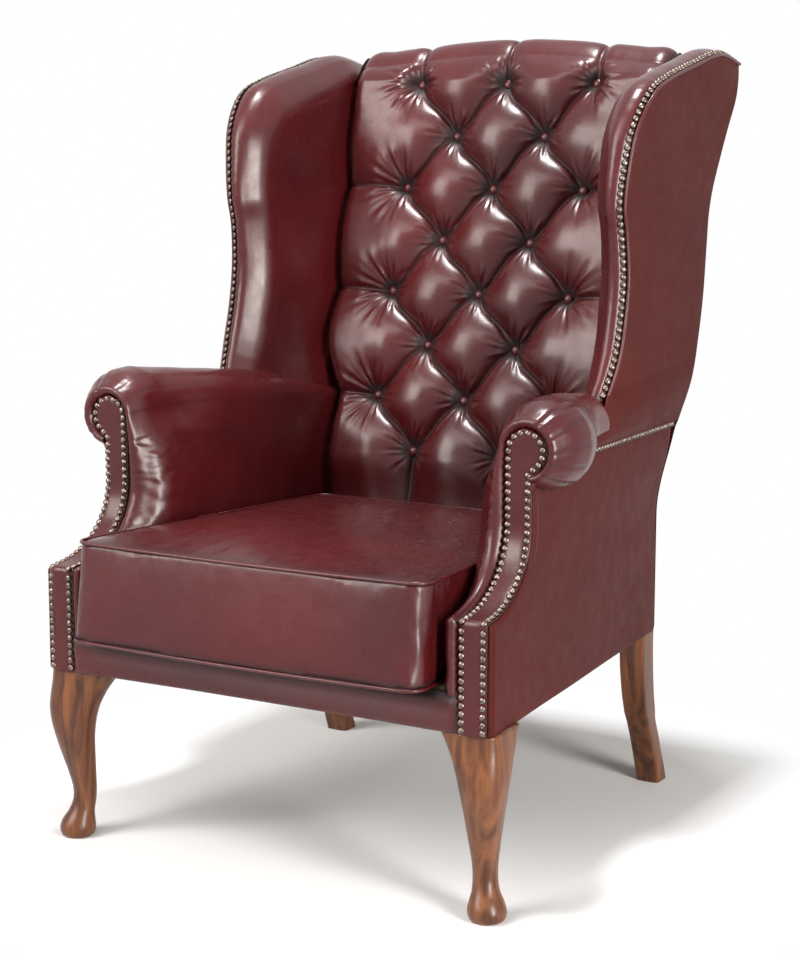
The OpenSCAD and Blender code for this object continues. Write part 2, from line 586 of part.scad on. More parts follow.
// Beech frame: front posts, rails and back posts
post_x = facing_left(0) + rail_inset;
post_t = facing_w - 4.5 * rail_inset;
post_d = 44;
post_back = post_d + rail_inset;
pad_t = 17;
web_t = 2;
pad_n = leather + 2 * fit;
web_n = pad_n + pad_t + fit;
post_n = web_n + web_t + fit;
back_post_x = rail_x(body_depth) - rail_inset - post_w;
back_post_y = back_y(0, post_n) - fit;
rail_angle = atan((rail_x(0) - rail_x(body_depth)) / body_depth);
crest_rail_top = crest_h - crest_drop - 4 * leather;
post_top_z = back_z(crest_rail_top, post_n + rail_t);
rear_rail_y = back_post_y + rail_t / 4;
front_bolt = [post_x + post_t / 3, post_back / 2];
rear_bolt = [back_post_x + post_w / 2, body_depth - rear_leg_w / 2];
bolt_reach = bolt_d * 5;

module bolt_bore(at) {
    translate([at[0], at[1], body_z - bolt_reach])
        cylinder(h = 2 * bolt_reach, d = bolt_d + 2 * fit, $fn = 48);
}

module arm_post(side) {
    head_y = facing_sweep + post_d / 2;
    fronts = concat([0.012, 1], [for (k = [1 : 8]) 1 + k / 8], [3]);
    backs = [3, 2, 1.87, 1.75, 1.6, 1.45, 1.3];
    function inset(s, d) = facing_path(s) - d * [facing_normal(s)[1], facing_normal(s)[2]];
    outline = concat([for (s = fronts) [inset(s, rail_inset)[0], max(rail_bottom, inset(s, rail_inset)[1])]],
        [for (s = backs) inset(s, post_back)],
        [[post_back, block_top - post_d], [post_back, rail_bottom]]);
    color(beech) sided(side) difference() {
        union() {
            side_board(post_x, post_t - stem_shift / 2, outline);
            translate([wall_x(head_y) + wall_r(head_y), facing_sweep + rail_inset, head_z])
                rotate([-90, 0, 0]) cylinder(h = post_d / 2, r = facing_head_r * 0.75, $fn = 64);
        }
        bolt_bore(front_bolt);
    }
}

module arm_rail(side) {
    front_y = facing_sweep + post_back + fit;
    front_x = wall_x(front_y) + 2 * rail_inset;
    turn = atan((front_x - wall_x(back_post_y) - rail_inset) / (back_post_y - front_y));
    color(beech) sided(side) translate([front_x, front_y, head_z - board_t / 2 - arm_rail_h])
        rotate([0, 0, turn]) cube([board_t, back_post_y - front_y - 2 * fit, arm_rail_h]);
}

module rear_upright(side) {
    rears = [rear_bend_z, rear_bend_z + rear_rise * 0.06, wing_z, rear_bend_z + rear_rise * 0.4,
        rear_bend_z + rear_rise * 0.7, post_top_z];
    function post_rear(z) = max(lean_y(z, post_n) + rail_t / 2,
        min(lean_y(z, back_t - 3 * rail_inset), rear_y(z) - 2 * rail_inset));
    outline = concat([[back_post_y, rail_bottom], [back_post_y, back_z(0, post_n)],
        [back_y(crest_rail_top, post_n), back_z(crest_rail_top, post_n)]],
        [for (k = [len(rears) - 1 : -1 : 0]) [post_rear(rears[k]), rears[k]]],
        [[body_depth - rail_inset - fit, rail_bottom]]);
    color(beech) sided(side) difference() {
        side_board(back_post_x, post_w, outline);
        bolt_bore(rear_bolt);
    }
}

module wing_board(side) {
    inset = board_t * 0.82;
    foot_y = arm_roll([1, 0, 0.74, 0], 1)[1];
    foot_z = arm_core([1, 0, 0.74, 0], 1)[2] + 2 * seam_fit;
    edge = [for (k = [1 : 14]) let (p = wing_point(k / 16, 0, -inset)) [p[1], p[2]]];
    outer = concat([[foot_y + inset, foot_z + inset]], edge,
        [[back_y(crest_rail_top, post_n + rail_t), post_top_z],
        [rear_y(wing_z) - 2 * rail_inset, wing_z], [rear_y(seam_z) - 2 * rail_inset, foot_z + inset]]);
    middle_z = wing_z + wing_rise / 2;
    middle = [(wing_edge(0.35)[1] + rear_y(middle_z)) / 2, middle_z];
    color(beech) sided(side) difference() {
        side_board(wing_board_x, board_t, outer);
        side_board(wing_board_x - fit, board_t + 2 * fit, [for (p = outer) mix(middle, p, 0.62)]);
    }
}

module seat_side_rail(side) {
    start = post_back + fit;
    size = [rail_t, (back_post_y - start) / cos(rail_angle) - rail_t * tan(rail_angle) - 2 * fit,
        deck_at(back_post_y) - stack_h - rail_bottom];
    color(beech) sided(side) translate([rail_x(start) - rail_inset - fit, start, rail_bottom])
        rotate([0, 0, rail_angle]) translate([-rail_t, rail_t * tan(rail_angle), 0]) cube(size);
}

module seat_front_rail() {
    color(beech) placed() translate([fit - post_x, rail_inset, rail_bottom])
        cube([2 * (post_x - fit), rail_t, deck_at(rail_inset + rail_t) - stack_h - rail_bottom]);
}

module seat_rear_rail() {
    color(beech) placed() translate([fit - back_post_x, rear_rail_y, rail_bottom])
        cube([2 * (back_post_x - fit), rail_t, deck_at(rear_rail_y + rail_t) - stack_h - rail_bottom]);
}

module corner_blocks() {
    block = 2 * rail_t;
    h = deck_at(back_post_y) - stack_h - rail_bottom;
    front = [post_x - fit, rail_inset + rail_t + fit];
    rear = [back_post_x - fit, rear_rail_y - fit];
    for (side = [-1, 1]) {
        color(beech) sided(side) translate([0, 0, rail_bottom]) linear_extrude(h)
            polygon([front, front + [0, block / 2], front - [block, -fit], front - [block, 0]]);
        color(beech) sided(side) translate([0, 0, rail_bottom]) linear_extrude(h)
            polygon([rear, rear - [block, 0], rear - [block, fit], rear - [0, block]]);
    }
}

module back_crest_rail() {
    color(beech) on_back() translate([fit - back_post_x, post_n, crest_rail_top - 2 * rail_t])
        cube([2 * (back_post_x - fit), rail_t, 2 * rail_t]);
}

module back_stay_rail() {
    color(beech) on_back() translate([fit - back_post_x, post_n, rail_t / 4])
        cube([2 * (back_post_x - fit), rail_t, 2 * rail_t]);
}

// Legs: sections as shares of the body's height and of the leg's width
front_leg_shares = [[0, 0.256, -0.151, 0.25, 0], [0.02, 0.256, -0.151, 0.98, 0],
    [0.056, 0.256, -0.151, 1, 0], [0.1, 0.24, -0.135, 0.68, 0], [0.145, 0.21, -0.1, 0.21, 0],
    [0.2, 0.18, -0.06, 0.02, 0], [0.27, 0.165, -0.05, 0, 0], [0.36, 0.155, -0.085, 0.053, 0.05],
    [0.47, 0.15, -0.14, 0.155, 0.1], [0.58, 0.145, -0.19, 0.3, 0.15], [0.68, 0.135, -0.215, 0.45, 0.25],
    [0.77, 0.11, -0.2, 0.594, 0.35], [0.85, 0.075, -0.14, 0.725, 0.5], [0.92, 0.035, -0.065, 0.853, 0.7],
    [1, 0, 0, 1, 0.9]];
ankle_share = 0.27;
rear_leg_shares = [[0, 1, 0.46, 0.2], [0.05, 0.93, 0.46, 0.2], [0.18, 0.74, 0.45, 0.2],
    [0.3, 0.56, 0.45, 0.2], [0.42, 0.36, 0.45, 0.19], [0.48, 0.27, 0.46, 0.08], [0.6, 0.15, 0.47, 0.05],
    [0.75, 0.06, 0.485, 0.05], [0.88, 0.02, 0.49, 0.05], [1, 0, 0.5, 0.05]];

function leg_ring(at, r, square, z) =
    [for (k = [0 : 19]) let (a = k * 18 + 9, p = mix(1, 0.35, square))
        [at[0] + r * sign(cos(a)) * pow(abs(cos(a)), p), at[1] + r * sign(sin(a)) * pow(abs(sin(a)), p), z]];
function square_ring(at, r, chamfer, z) =
    [for (q = [[1, -1], [1, 1], [-1, 1], [-1, -1]])
        for (e = q[0] == q[1] ? [[0, 1], [1, 0]] : [[1, 0], [0, 1]])
            [at[0] + q[0] * (r - chamfer * e[0]), at[1] + q[1] * (r - chamfer * e[1]), z]];

module front_leg(side) {
    top = [body_front_w / 2 - knee_w / 2, knee_w / 2];
    rings = [for (q = front_leg_shares)
        let (r = mix(ankle_d, q[0] < ankle_share ? foot_d : knee_w, q[3]) / 2)
            leg_ring(top + knee_w * [q[1], q[2]], r, q[4], (body_z - fit) * q[0])];
    seat = leg_ring(top, knee_w * 0.4, 0.9, body_z - fit);
    color(walnut) sided(side) difference() {
        loft(concat(rings, [seat, [for (p = seat) p + [0, 0, dust_t + fit]]]));
        bolt_bore(front_bolt);
    }
}

module rear_leg(side) {
    top = [back_post_x + post_w / 2, body_depth - rear_leg_w / 2 + leather];
    rings = [for (q = rear_leg_shares)
        square_ring(top + [0, rear_rake * q[1]], rear_leg_w * q[2], rear_leg_w * q[3],
            (body_z - fit) * q[0])];
    seat = square_ring(top - [0, leather * 2], rear_leg_w * 0.4, rear_leg_w * 0.05,
        body_z - fit);
    color(walnut) sided(side) difference() {
        loft(concat(rings, [seat, [for (p = seat) p + [0, 0, dust_t + fit]]]));
        bolt_bore(rear_bolt);
    }
}

module leg_screws() {
    for (side = [-1, 1]) {
        for (at = [front_bolt, rear_bolt]) {
            color(steel) sided(side) translate([at[0], at[1], body_z - bolt_reach + fit])
                cylinder(h = 2 * (bolt_reach - fit), d = bolt_d, $fn = 48);
        }
    }
}

// Seat suspension
spring_count = 5;
spring_w = 50;
spring_turns = 13;
clip_w = 20;
clip_y = rail_inset + rail_t / 4;
clip_z = -deck_t - fit - clip_h;
hook_in = clip_t + spring_t / 2 + fit;
rear_clip_y = (rear_rail_y + rail_t) / cos(seat_pitch) - clip_y;
spring_x = [for (k = [0 : spring_count - 1]) (k - (spring_count - 1) / 2) * body_rear_w / 6];

function spring_line(t) =
    [spring_w / 2 * sin(360 * spring_turns * t), mix(clip_y + hook_in, rear_clip_y - hook_in, t)];
function spring_side(t, out) =
    let (e = 1 / spring_turns / 64, d = spring_line(min(1, t + e)) - spring_line(max(0, t - e)))
    spring_line(t) + out * [d[1], -d[0]] / norm(d);

module seat_springs() {
    ts = [for (k = [0 : spring_turns * 8]) k / spring_turns / 8];
    outline = concat([for (t = ts) spring_side(t, spring_t / 2)],
        [for (k = [len(ts) - 1 : -1 : 0]) spring_side(ts[k], -spring_t / 2)]);
    color(steel) on_seat() {
        for (x = spring_x) {
            translate([x, 0, clip_z + clip_t + fit]) linear_extrude(spring_t) polygon(outline);
        }
    }
}

module spring_clips() {
    hook = [[0, 0], [clip_w, 0], [clip_w, clip_t], [clip_t, clip_t], [clip_t, clip_h - clip_t],
        [clip_w * 0.8, clip_h - clip_t], [clip_w * 0.8, clip_h], [0, clip_h]];
    color(steel) on_seat() {
        for (x = spring_x) {
            translate([x - clip_w / 2, clip_y, clip_z]) rotate([90, 0, 90])
                linear_extrude(clip_w) polygon(hook);
            translate([x + clip_w / 2, rear_clip_y, clip_z]) rotate([90, 0, -90])
                linear_extrude(clip_w) polygon(hook);
        }
    }
}

module seat_platform() {
    front_y = border_nose * 1.2 + fit;
    color(linen) on_seat() translate([0, 0, -deck_t]) linear_extrude(deck_t)
        polygon([[-wall_x(0), front_y], [wall_x(0), front_y],
            [wall_x(back_post_y) - fit, back_post_y - 2 * fit],
            [fit - wall_x(back_post_y), back_post_y - 2 * fit]]);
}

module dust_cover() {
    edge = rail_inset + fit;
    knee = body_front_w / 2 - knee_w - fit;
    knee_y = knee_w + fit;
    heel = back_post_x + post_w / 2 - rear_leg_w / 2 - fit;
    heel_y = body_depth - rear_leg_w - fit;
    half = [[knee, edge], [knee, knee_y], [rail_x(knee_y) - edge, knee_y],
        [rail_x(heel_y) - edge, heel_y], [heel, heel_y], [heel, body_depth - edge]];
    color("DimGray") placed() translate([0, 0, body_z]) linear_extrude(dust_t)
        polygon(concat(half, [for (k = [len(half) - 1 : -1 : 0]) [-half[k][0], half[k][1]]]));
}

module back_webbing() {
    web_w = 50;
    web_count = 5;
    half = back_post_x + post_w - 2 * rail_inset;
    color("DarkKhaki") on_back() {
        for (k = [0 : web_count - 1]) {
            low = mix(rail_t / 4, crest_rail_top - web_w - rail_t / 4, k / (web_count - 1));
            translate([-half, web_n, low]) cube([2 * half, web_t, web_w]);
        }
    }
}

module back_pad() {
    half = [for (k = [0 : 12]) let (h = mix(back_low, crest_rail_top, k / 12))
        [half_width(min(back_z(h, pad_n), back_z(h, pad_n + pad_t))) - seam_fit, h]];
    color(foam) on_back() translate([0, pad_n + pad_t, 0]) rotate([90, 0, 0]) linear_extrude(pad_t)
        polygon(concat(half, [for (k = [len(half) - 1 : -1 : 0]) [-half[k][0], half[k][1]]]));
}

// Cushion: plan outlines with an inset, and its panels, welts and core
cushion_back = back_y(back_low, -leather - tuft_h / 4) - 6 * seam_fit;
cushion_corner = 40;
cushion_bow = 8;
cushion_lean = 14;
cushion_lift = 0.5;
dome_shares = [1, 0.93, 0.78, 0.55, 0.28];

module on_cushion() {
    placed() translate([0, -cushion_nose, deck_at(-cushion_nose) + cushion_lift]) rotate([-seat_pitch, 0, 0])
        children();
}

// Outline at a share of the border's height, drawn in by inset
function cushion_plan(inset, rise) =
    let (r = cushion_corner - inset / 2, q = cushion_corner * 0.6 - inset / 2,
         d = cushion_back + cushion_nose, wf = cushion_front_w / 2 - inset,
         wr = cushion_side(cushion_back) - inset,
         yf = inset + cushion_bow + cushion_lean * rise, yr = d - inset,
         spots = [[wf - r, yf + r, r, -90], [wr - q, yr - q, q, 0],
            [q - wr, yr - q, q, 90], [r - wf, yf + r, r, 180]])
    flat([for (k = [0 : 3]) let (s = spots[k], t = spots[(k + 1) % 4],
        ends = [for (w = [s, t]) [w[0], w[1]] + w[2] * [cos(s[3] + 90), sin(s[3] + 90)]])
        concat([for (a = [0 : 4]) [s[0] + s[2] * cos(s[3] + a * 22.5), s[1] + s[2] * sin(s[3] + a * 22.5)]],
            [for (m = [1 : 4]) mix(ends[0], ends[1], m / 5)
                + (k == 3 ? cushion_bow : 0) * (1 - pow(abs(m / 2.5 - 1), 2)) * [0, -1]])]);
function raised(plan, z) = [for (p = plan) [p[0], p[1], z]];
function scaled(plan, s, middle) = [for (p = plan) middle + s * (p - middle)];
function dome_rings(inset, low, crown, inner) =
    let (plan = cushion_plan(inset, 1), middle = [0, (cushion_back + cushion_nose) / 2],
         n = len(dome_shares) - 1)
    [for (k = inner ? [n : -1 : 0] : [0 : n]) let (s = dome_shares[k])
        raised(scaled(plan, s, middle), low + crown * (1 - s * s * s))];
upper_weld = welt_d / 2 + cushion_h;

module cushion_top() {
    inset = welt_d / 2 + seam_fit * 1.5;
    color(oxblood) on_cushion() loft(concat(
        dome_rings(inset, upper_weld - leather, cushion_crown, true),
        dome_rings(inset, upper_weld, cushion_crown, false)));
}

module cushion_base() {
    plan = cushion_plan(welt_d / 2 + seam_fit, 0);
    color(oxblood) on_cushion() loft([raised(plan, welt_d / 10), raised(plan, welt_d / 10 + leather)]);
}

module cushion_border() {
    low = welt_d + fit;
    high = cushion_h - fit;
    function side_ring(rise, out) = cushion_plan(-out, rise);
    rises = [0, 0.3, 0.7, 1];
    outs = [0, 1, 1, 0] * seam_fit;
    rings = concat([for (k = [0 : 3]) raised(side_ring(rises[k], outs[k]), mix(low, high, rises[k]))],
        [for (k = [3 : -1 : 0]) raised(side_ring(rises[k], outs[k] - leather), mix(low, high, rises[k]))]);
    n = len(rings[0]);
    color(oxblood) on_cushion()
        band([for (j = [0 : n - 1]) [for (k = [len(rings) - 1 : -1 : 0]) rings[k][j]]]);
}

module welt(plan, z) {
    n = len(plan);
    band([for (j = [0 : n - 1])
        let (d = plan[(j + 1) % n] - plan[(j + n - 1) % n], out = [d[1], -d[0]] / norm(d))
        [for (a = [0 : 60 : 300]) [plan[j][0] + out[0] * welt_d / 2 * cos(a),
            plan[j][1] + out[1] * welt_d / 2 * cos(a), z - welt_d / 2 * sin(a)]]]);
}

module cushion_piping_top() {
    color(oxblood) on_cushion() welt(cushion_plan(seam_fit, 1), upper_weld);
}

module cushion_piping_base() {
    color(oxblood) on_cushion() welt(cushion_plan(seam_fit, 0), welt_d / 2);
}

module cushion_core() {
    edge = leather + seam_fit;
    deep = welt_d + leather;
    base = welt_d / 10 + leather + seam_fit;
    color(foam) on_cushion() loft(concat(
        [raised(cushion_plan(deep, 0), base), raised(cushion_plan(edge, 0.05), base + deep),
            raised(cushion_plan(edge, 0.9), upper_weld - deep)],
        dome_rings(deep, upper_weld - leather - seam_fit, cushion_crown, false)));
}

// Nails: low domes along a line, each square to the cover under it
module nail(at, normal) {
    translate(at + normal * 2 * fit) rotate([0, acos(normal[2]), atan2(normal[1], normal[0])])
        cylinder(h = nail_d * 0.3, d1 = nail_d, d2 = nail_d * 0.45, $fn = 24);
}

module facing_nails(side) {
    edge = nail_d * 0.6;
    rise = concat([0.04, 0.5, 0.97], [for (k = [0 : 8]) 1 + k / 8], [2.7, 2.9]);
    fall = [for (k = [1 : len(rise)]) rise[len(rise) - k]];
    turns = [for (a = [170 : -20 : -50]) a];
    spots = concat([for (s = rise) [facing_left(s) + edge, facing_path(s)[0], facing_path(s)[1], s]],
        [for (a = turns) [head_x + (facing_head_r - edge) * cos(a), facing_sweep,
            head_z + (facing_head_r - edge) * sin(a), 3]],
        [for (s = fall) if (s < 2.8) [facing_right(s) - edge, facing_path(s)[0], facing_path(s)[1], s]]);
    line = [for (p = spots) [p[0], p[1], p[2]]];
    color(brass) sided(side) {
        for (q = paced(line, nail_pitch)) {
            k = max(0, floor(q[1] - fit / 1000));
            nail(q[0], facing_normal(mix(spots[k][3], spots[k + 1][3], q[1] - k)));
        }
    }
}

module wing_nails(side) {
    line = [for (k = [0 : 16]) wing_edge(max(fit / nail_pitch, k / 16 * wing_end_share))
        + (k == 0 ? 3 : 0) * [seam_fit, -seam_fit, 0]];
    color(brass) sided(side) {
        for (q = paced(line, nail_pitch)) {
            normal = (wing_out(q[1] / 16 * wing_end_share) + [1, 0, 0]) / sqrt(2);
            nail(q[0] + normal * fit, normal);
        }
    }
}

module arm_nails(side) {
    low_z = seam_z - nail_d;
    line = [for (k = [0 : 20]) let (y = mix(wing_front - wing_run / 3, body_depth - nail_d, k / 20))
        [side_x(y, low_z) + fit, y, low_z]];
    color(brass) sided(side) {
        for (q = paced(line, nail_pitch)) {
            nail(q[0], [1, 0, 0]);
        }
    }
}

seat_front_rail();
seat_rear_rail();
seat_side_rail(-1);  // seat_side_rail_left
seat_side_rail(1);  // seat_side_rail_right
corner_blocks();
arm_post(-1);  // arm_post_left
arm_post(1);  // arm_post_right
arm_rail(-1);  // arm_rail_left
arm_rail(1);  // arm_rail_right
rear_upright(-1);  // rear_upright_left
rear_upright(1);  // rear_upright_right
back_crest_rail();
back_stay_rail();
wing_board(-1);  // wing_board_left
wing_board(1);  // wing_board_right
front_leg(-1);  // front_leg_left
front_leg(1);  // front_leg_right
rear_leg(-1);  // rear_leg_left
rear_leg(1);  // rear_leg_right
leg_screws();
seat_springs();
spring_clips();
seat_platform();
back_webbing();
back_pad();
inside_back();
back_buttons();
inside_arm(-1);  // inside_arm_left
inside_arm(1);  // inside_arm_right
inside_wing(-1);  // inside_wing_left
inside_wing(1);  // inside_wing_right
arm_facing(-1);  // arm_facing_left
arm_facing(1);  // arm_facing_right
outside_arm(-1);  // outside_arm_left
outside_arm(1);  // outside_arm_right
outside_wing(-1);  // outside_wing_left
outside_wing(1);  // outside_wing_right
outside_back();
front_border();
dust_cover();
facing_nails(-1);  // facing_nails_left
facing_nails(1);  // facing_nails_right
wing_nails(-1);  // wing_nails_left
wing_nails(1);  // wing_nails_right
arm_nails(-1);  // arm_nails_left
arm_nails(1);  // arm_nails_right
cushion_top();
cushion_border();
cushion_base();
cushion_piping_top();
cushion_piping_base();
cushion_core();
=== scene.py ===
import json
import math

import bmesh
import bpy
from mathutils import Matrix, Vector, noise


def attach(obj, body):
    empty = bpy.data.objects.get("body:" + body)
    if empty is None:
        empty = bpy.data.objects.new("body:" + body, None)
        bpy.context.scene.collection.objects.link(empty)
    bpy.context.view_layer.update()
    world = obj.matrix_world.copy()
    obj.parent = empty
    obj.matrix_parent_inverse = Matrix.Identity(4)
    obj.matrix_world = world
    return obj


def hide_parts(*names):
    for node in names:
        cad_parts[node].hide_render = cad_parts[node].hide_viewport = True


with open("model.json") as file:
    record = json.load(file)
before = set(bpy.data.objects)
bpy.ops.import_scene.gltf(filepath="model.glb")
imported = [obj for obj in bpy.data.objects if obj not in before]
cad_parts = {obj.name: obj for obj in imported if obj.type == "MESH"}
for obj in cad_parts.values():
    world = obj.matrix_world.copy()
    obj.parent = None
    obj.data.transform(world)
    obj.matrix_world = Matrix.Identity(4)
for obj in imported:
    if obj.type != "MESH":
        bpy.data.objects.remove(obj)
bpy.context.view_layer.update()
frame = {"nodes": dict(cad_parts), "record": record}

# Lengths below are in millimetres, with x from the middle of the chair, y from the arm fronts
# backwards and z from the floor. MIDDLE is the row frame's origin in y.
MIDDLE = 385.0
MM = 0.001


def mm(x, y, z):
    return Vector((x, y - MIDDLE, z)) * MM


def mix(a, b, t):
    return a + (b - a) * t


def clamp(t, low=0.0, high=1.0):
    return min(high, max(low, t))


def ease(t):
    return (1 - math.cos(math.pi * clamp(t))) / 2


def bell(t):
    return math.exp(-t * t)


def lookup(t, table):
    if t <= table[0][0]:
        return table[0][1]
    for (a, b), (c, d) in zip(table, table[1:]):
        if t <= c:
            return mix(b, d, (t - a) / (c - a))
    return table[-1][1]


def spline(rows, k, u):
    """The smooth curve from row k to the next one, as u goes from 0 to 1."""
    near = [rows[clamp(k + m, 0, len(rows) - 1)] for m in (-1, 0, 1, 2)]
    return tuple((2 * b + (c - a) * u + (2 * a - 5 * b + 4 * c - d) * u * u
                  + (3 * b - a - 3 * c + d) * u ** 3) / 2 for a, b, c, d in zip(*near))


def curve(points, t):
    """A smooth curve through points of any size, with t from 0 to 1."""
    n = len(points) - 1
    k = min(int(t * n), n - 1)
    return spline(points, k, t * n - k)


def smooth_lookup(t, table):
    """Like lookup, with corners eased over 0.03 to either side."""
    return sum(lookup(t + d, table) for d in (-0.03, -0.015, 0, 0.015, 0.03)) / 5


def by_length(length, table):
    """A smooth lookup in a table of millimetres, eased over 30 mm to either side."""
    return smooth_lookup(length / 1000, [(a / 1000, b) for a, b in table])


def ripple(x, y, z, size):
    """Smooth noise from -1 to 1, with lumps about size millimetres across."""
    return noise.noise(Vector((x, y, z)) / size)


# Materials

def linear(code):
    def part(c):
        return c / 12.92 if c <= 0.04045 else ((c + 0.055) / 1.055) ** 2.4
    return tuple(part(int(code[k:k + 2], 16) / 255) for k in (1, 3, 5)) + (1,)


class Nodes:
    """A node tree, and the one way to add a node to it."""

    def __init__(self, tree):
        self.tree = tree

    def add(self, kind, inputs=(), **settings):
        """Adds a node and gives its outputs. An input is linked where its value is an output of
        another node, and set to the value where it isn't."""
        node = self.tree.nodes.new(kind)
        for key, value in settings.items():
            setattr(node, key, value)
        for key, value in inputs.items() if isinstance(inputs, dict) else enumerate(inputs):
            if isinstance(value, bpy.types.NodeSocket):
                self.tree.links.new(value, node.inputs[key])
            else:
                node.inputs[key].default_value = value
        return node.outputs


class Shader(Nodes):
    """A new node material with its Principled shader, and Object coordinates as its place."""

    def __init__(self, name, **values):
        self.material = bpy.data.materials.new(name)
        self.material.use_nodes = True
        super().__init__(self.material.node_tree)
        self.bsdf = self.tree.nodes["Principled BSDF"]
        self.place = self.add("ShaderNodeTexCoord")["Object"]
        for key, value in values.items():
            self.bsdf.inputs[key.replace("_", " ")].default_value = value

    def set(self, socket, source):
        self.tree.links.new(source, self.bsdf.inputs[socket])


# The kinds of node that come again, and the sockets of a colour mix
NOISE, RANGE, MIX, MATH, BUMP, MAPPING, ATTRIBUTE = (
    "ShaderNodeTexNoise", "ShaderNodeMapRange", "ShaderNodeMix", "ShaderNodeMath", "ShaderNodeBump",
    "ShaderNodeMapping", "ShaderNodeAttribute")
FACTOR, FIRST, SECOND, COLOUR = 0, 6, 7, 2


def every(size):
    """The scale at which a pattern repeats about every size millimetres."""
    return 1000 / size


def leather_material(name, deep, mid, shade, low, high, shine):
    """Polished oxblood hide: rubbing gives it slow clouds of tone and gloss, stretching small
    creases over a fine pebble, and painted shade darkens it in its folds, seams and hollows."""
    s = Shader(name, Specular_IOR_Level=shine, Coat_Weight=shine * 0.6, Coat_Roughness=0.5)
    # Clouds of dye about 250 mm across
    cloud = s.add(NOISE, {"Vector": s.place, "Scale": every(250), "Detail": 4})["Fac"]
    cloud = s.add(RANGE, [cloud, 0.3, 0.7, 0, 1])["Result"]
    dye_and_shade = s.add(MIX, {FACTOR: cloud, FIRST: linear(deep), SECOND: linear(mid)}, data_type="RGBA")
    # Painted shade: the crease attribute darkens the colour towards the shade colour, and dulls it,
    # in folds, seams and hollows
    painted_shade = s.add(ATTRIBUTE, attribute_name="crease")["Fac"]
    dark = s.add(RANGE, [painted_shade, 0, 1, 0, 0.95])["Result"]
    dye_and_shade = s.add(MIX, {FACTOR: dark, FIRST: dye_and_shade[COLOUR], SECOND: linear(shade)}, data_type="RGBA")
    s.set("Base Color", dye_and_shade[COLOUR])
    # Rubbed patches about 25 mm across, and dull folds
    rubbed = s.add(NOISE, {"Vector": s.place, "Scale": every(25), "Detail": 4})["Fac"]
    rubbed = s.add(RANGE, [rubbed, 0.3, 0.7, low, high])["Result"]
    dull = s.add(RANGE, [painted_shade, 0.25, 1, 0, 0.5])["Result"]
    s.set("Roughness", s.add(MATH, [dull, rubbed], operation="ADD")[0])
    # Soft waves of 71 mm, creases of 11 mm and the grain. A real grain is about 1 mm: it is drawn
    # at 2.4 mm, because a finer one doesn't show in the render.
    wave = s.add(NOISE, {"Vector": s.place, "Scale": every(71.43), "Detail": 2, "Distortion": 0.3})
    crease = s.add(NOISE, {"Vector": s.place, "Scale": every(11.11), "Detail": 5,
                           "Distortion": 1.2})
    grain = s.add("ShaderNodeTexVoronoi", {"Vector": s.place, "Scale": every(2.381)})
    normal = s.add(BUMP, {"Height": wave["Fac"], "Strength": 0.05, "Distance": 0.003})
    normal = s.add(BUMP, {"Height": crease["Fac"], "Strength": 0.07, "Distance": 0.0008,
                          "Normal": normal["Normal"]})
    normal = s.add(BUMP, {"Height": grain["Distance"], "Strength": 0.12, "Distance": 0.0003,
                          "Normal": normal["Normal"]})
    s.set("Normal", normal["Normal"])
    return s.material


# The tight outer panels are a little duller and browner than the padded leather
# The third colour of each is the painted shade laid into folds, seams and hollows
oxblood = leather_material("oxblood_leather", "#38080C", "#4A0E11", "#0C0103", 0.22, 0.33, 0.34)
outer = leather_material("oxblood_leather_outer", "#3C0F0C", "#461510", "#160404", 0.45, 0.55, 0.07)


def wood_material():
    """Polished walnut: its figure runs up the leg in long brown streaks, with dark pores on top."""
    s = Shader("polished_walnut", Coat_Weight=0.2, Coat_Roughness=0.2, Specular_IOR_Level=0.3)
    # Streaks 26 mm wide and 312 mm long, and pores 2.4 mm wide and 71 mm long. Real pores are
    # about 0.2 mm wide: they are drawn coarser so that they show.
    streak = s.add(MAPPING, {"Vector": s.place,
                             "Scale": (every(26.32), every(26.32), every(312.5))})
    figure = s.add(NOISE, {"Vector": streak["Vector"], "Scale": 1, "Detail": 6,
                           "Distortion": 1.6})["Fac"]
    pore = s.add(MAPPING, {"Vector": s.place, "Scale": (every(2.381), every(2.381), every(71.43))})
    pores = s.add(NOISE, {"Vector": pore["Vector"], "Scale": 1, "Detail": 3})["Fac"]
    streaks = s.add(RANGE, [figure, 0.36, 0.64, 0, 1])["Result"]
    brown = s.add(MIX, {FACTOR: streaks, FIRST: linear("#3C1D0E"), SECOND: linear("#6F4224")},
                  data_type="RGBA")[COLOUR]
    open_pores = s.add(RANGE, [pores, 0.6, 0.75, 0, 0.55])["Result"]
    s.set("Base Color", s.add(MIX, {FACTOR: open_pores, FIRST: brown, SECOND: linear("#2C160B")},
                              data_type="RGBA")[COLOUR])
    s.set("Roughness", s.add(RANGE, [figure, 0.3, 0.7, 0.3, 0.44])["Result"])
    normal = s.add(BUMP, {"Height": pores, "Strength": 0.12, "Distance": 0.0004})
    normal = s.add(BUMP, {"Height": figure, "Strength": 0.05, "Distance": 0.001,
                          "Normal": normal["Normal"]})
    s.set("Normal", normal["Normal"])
    return s.material


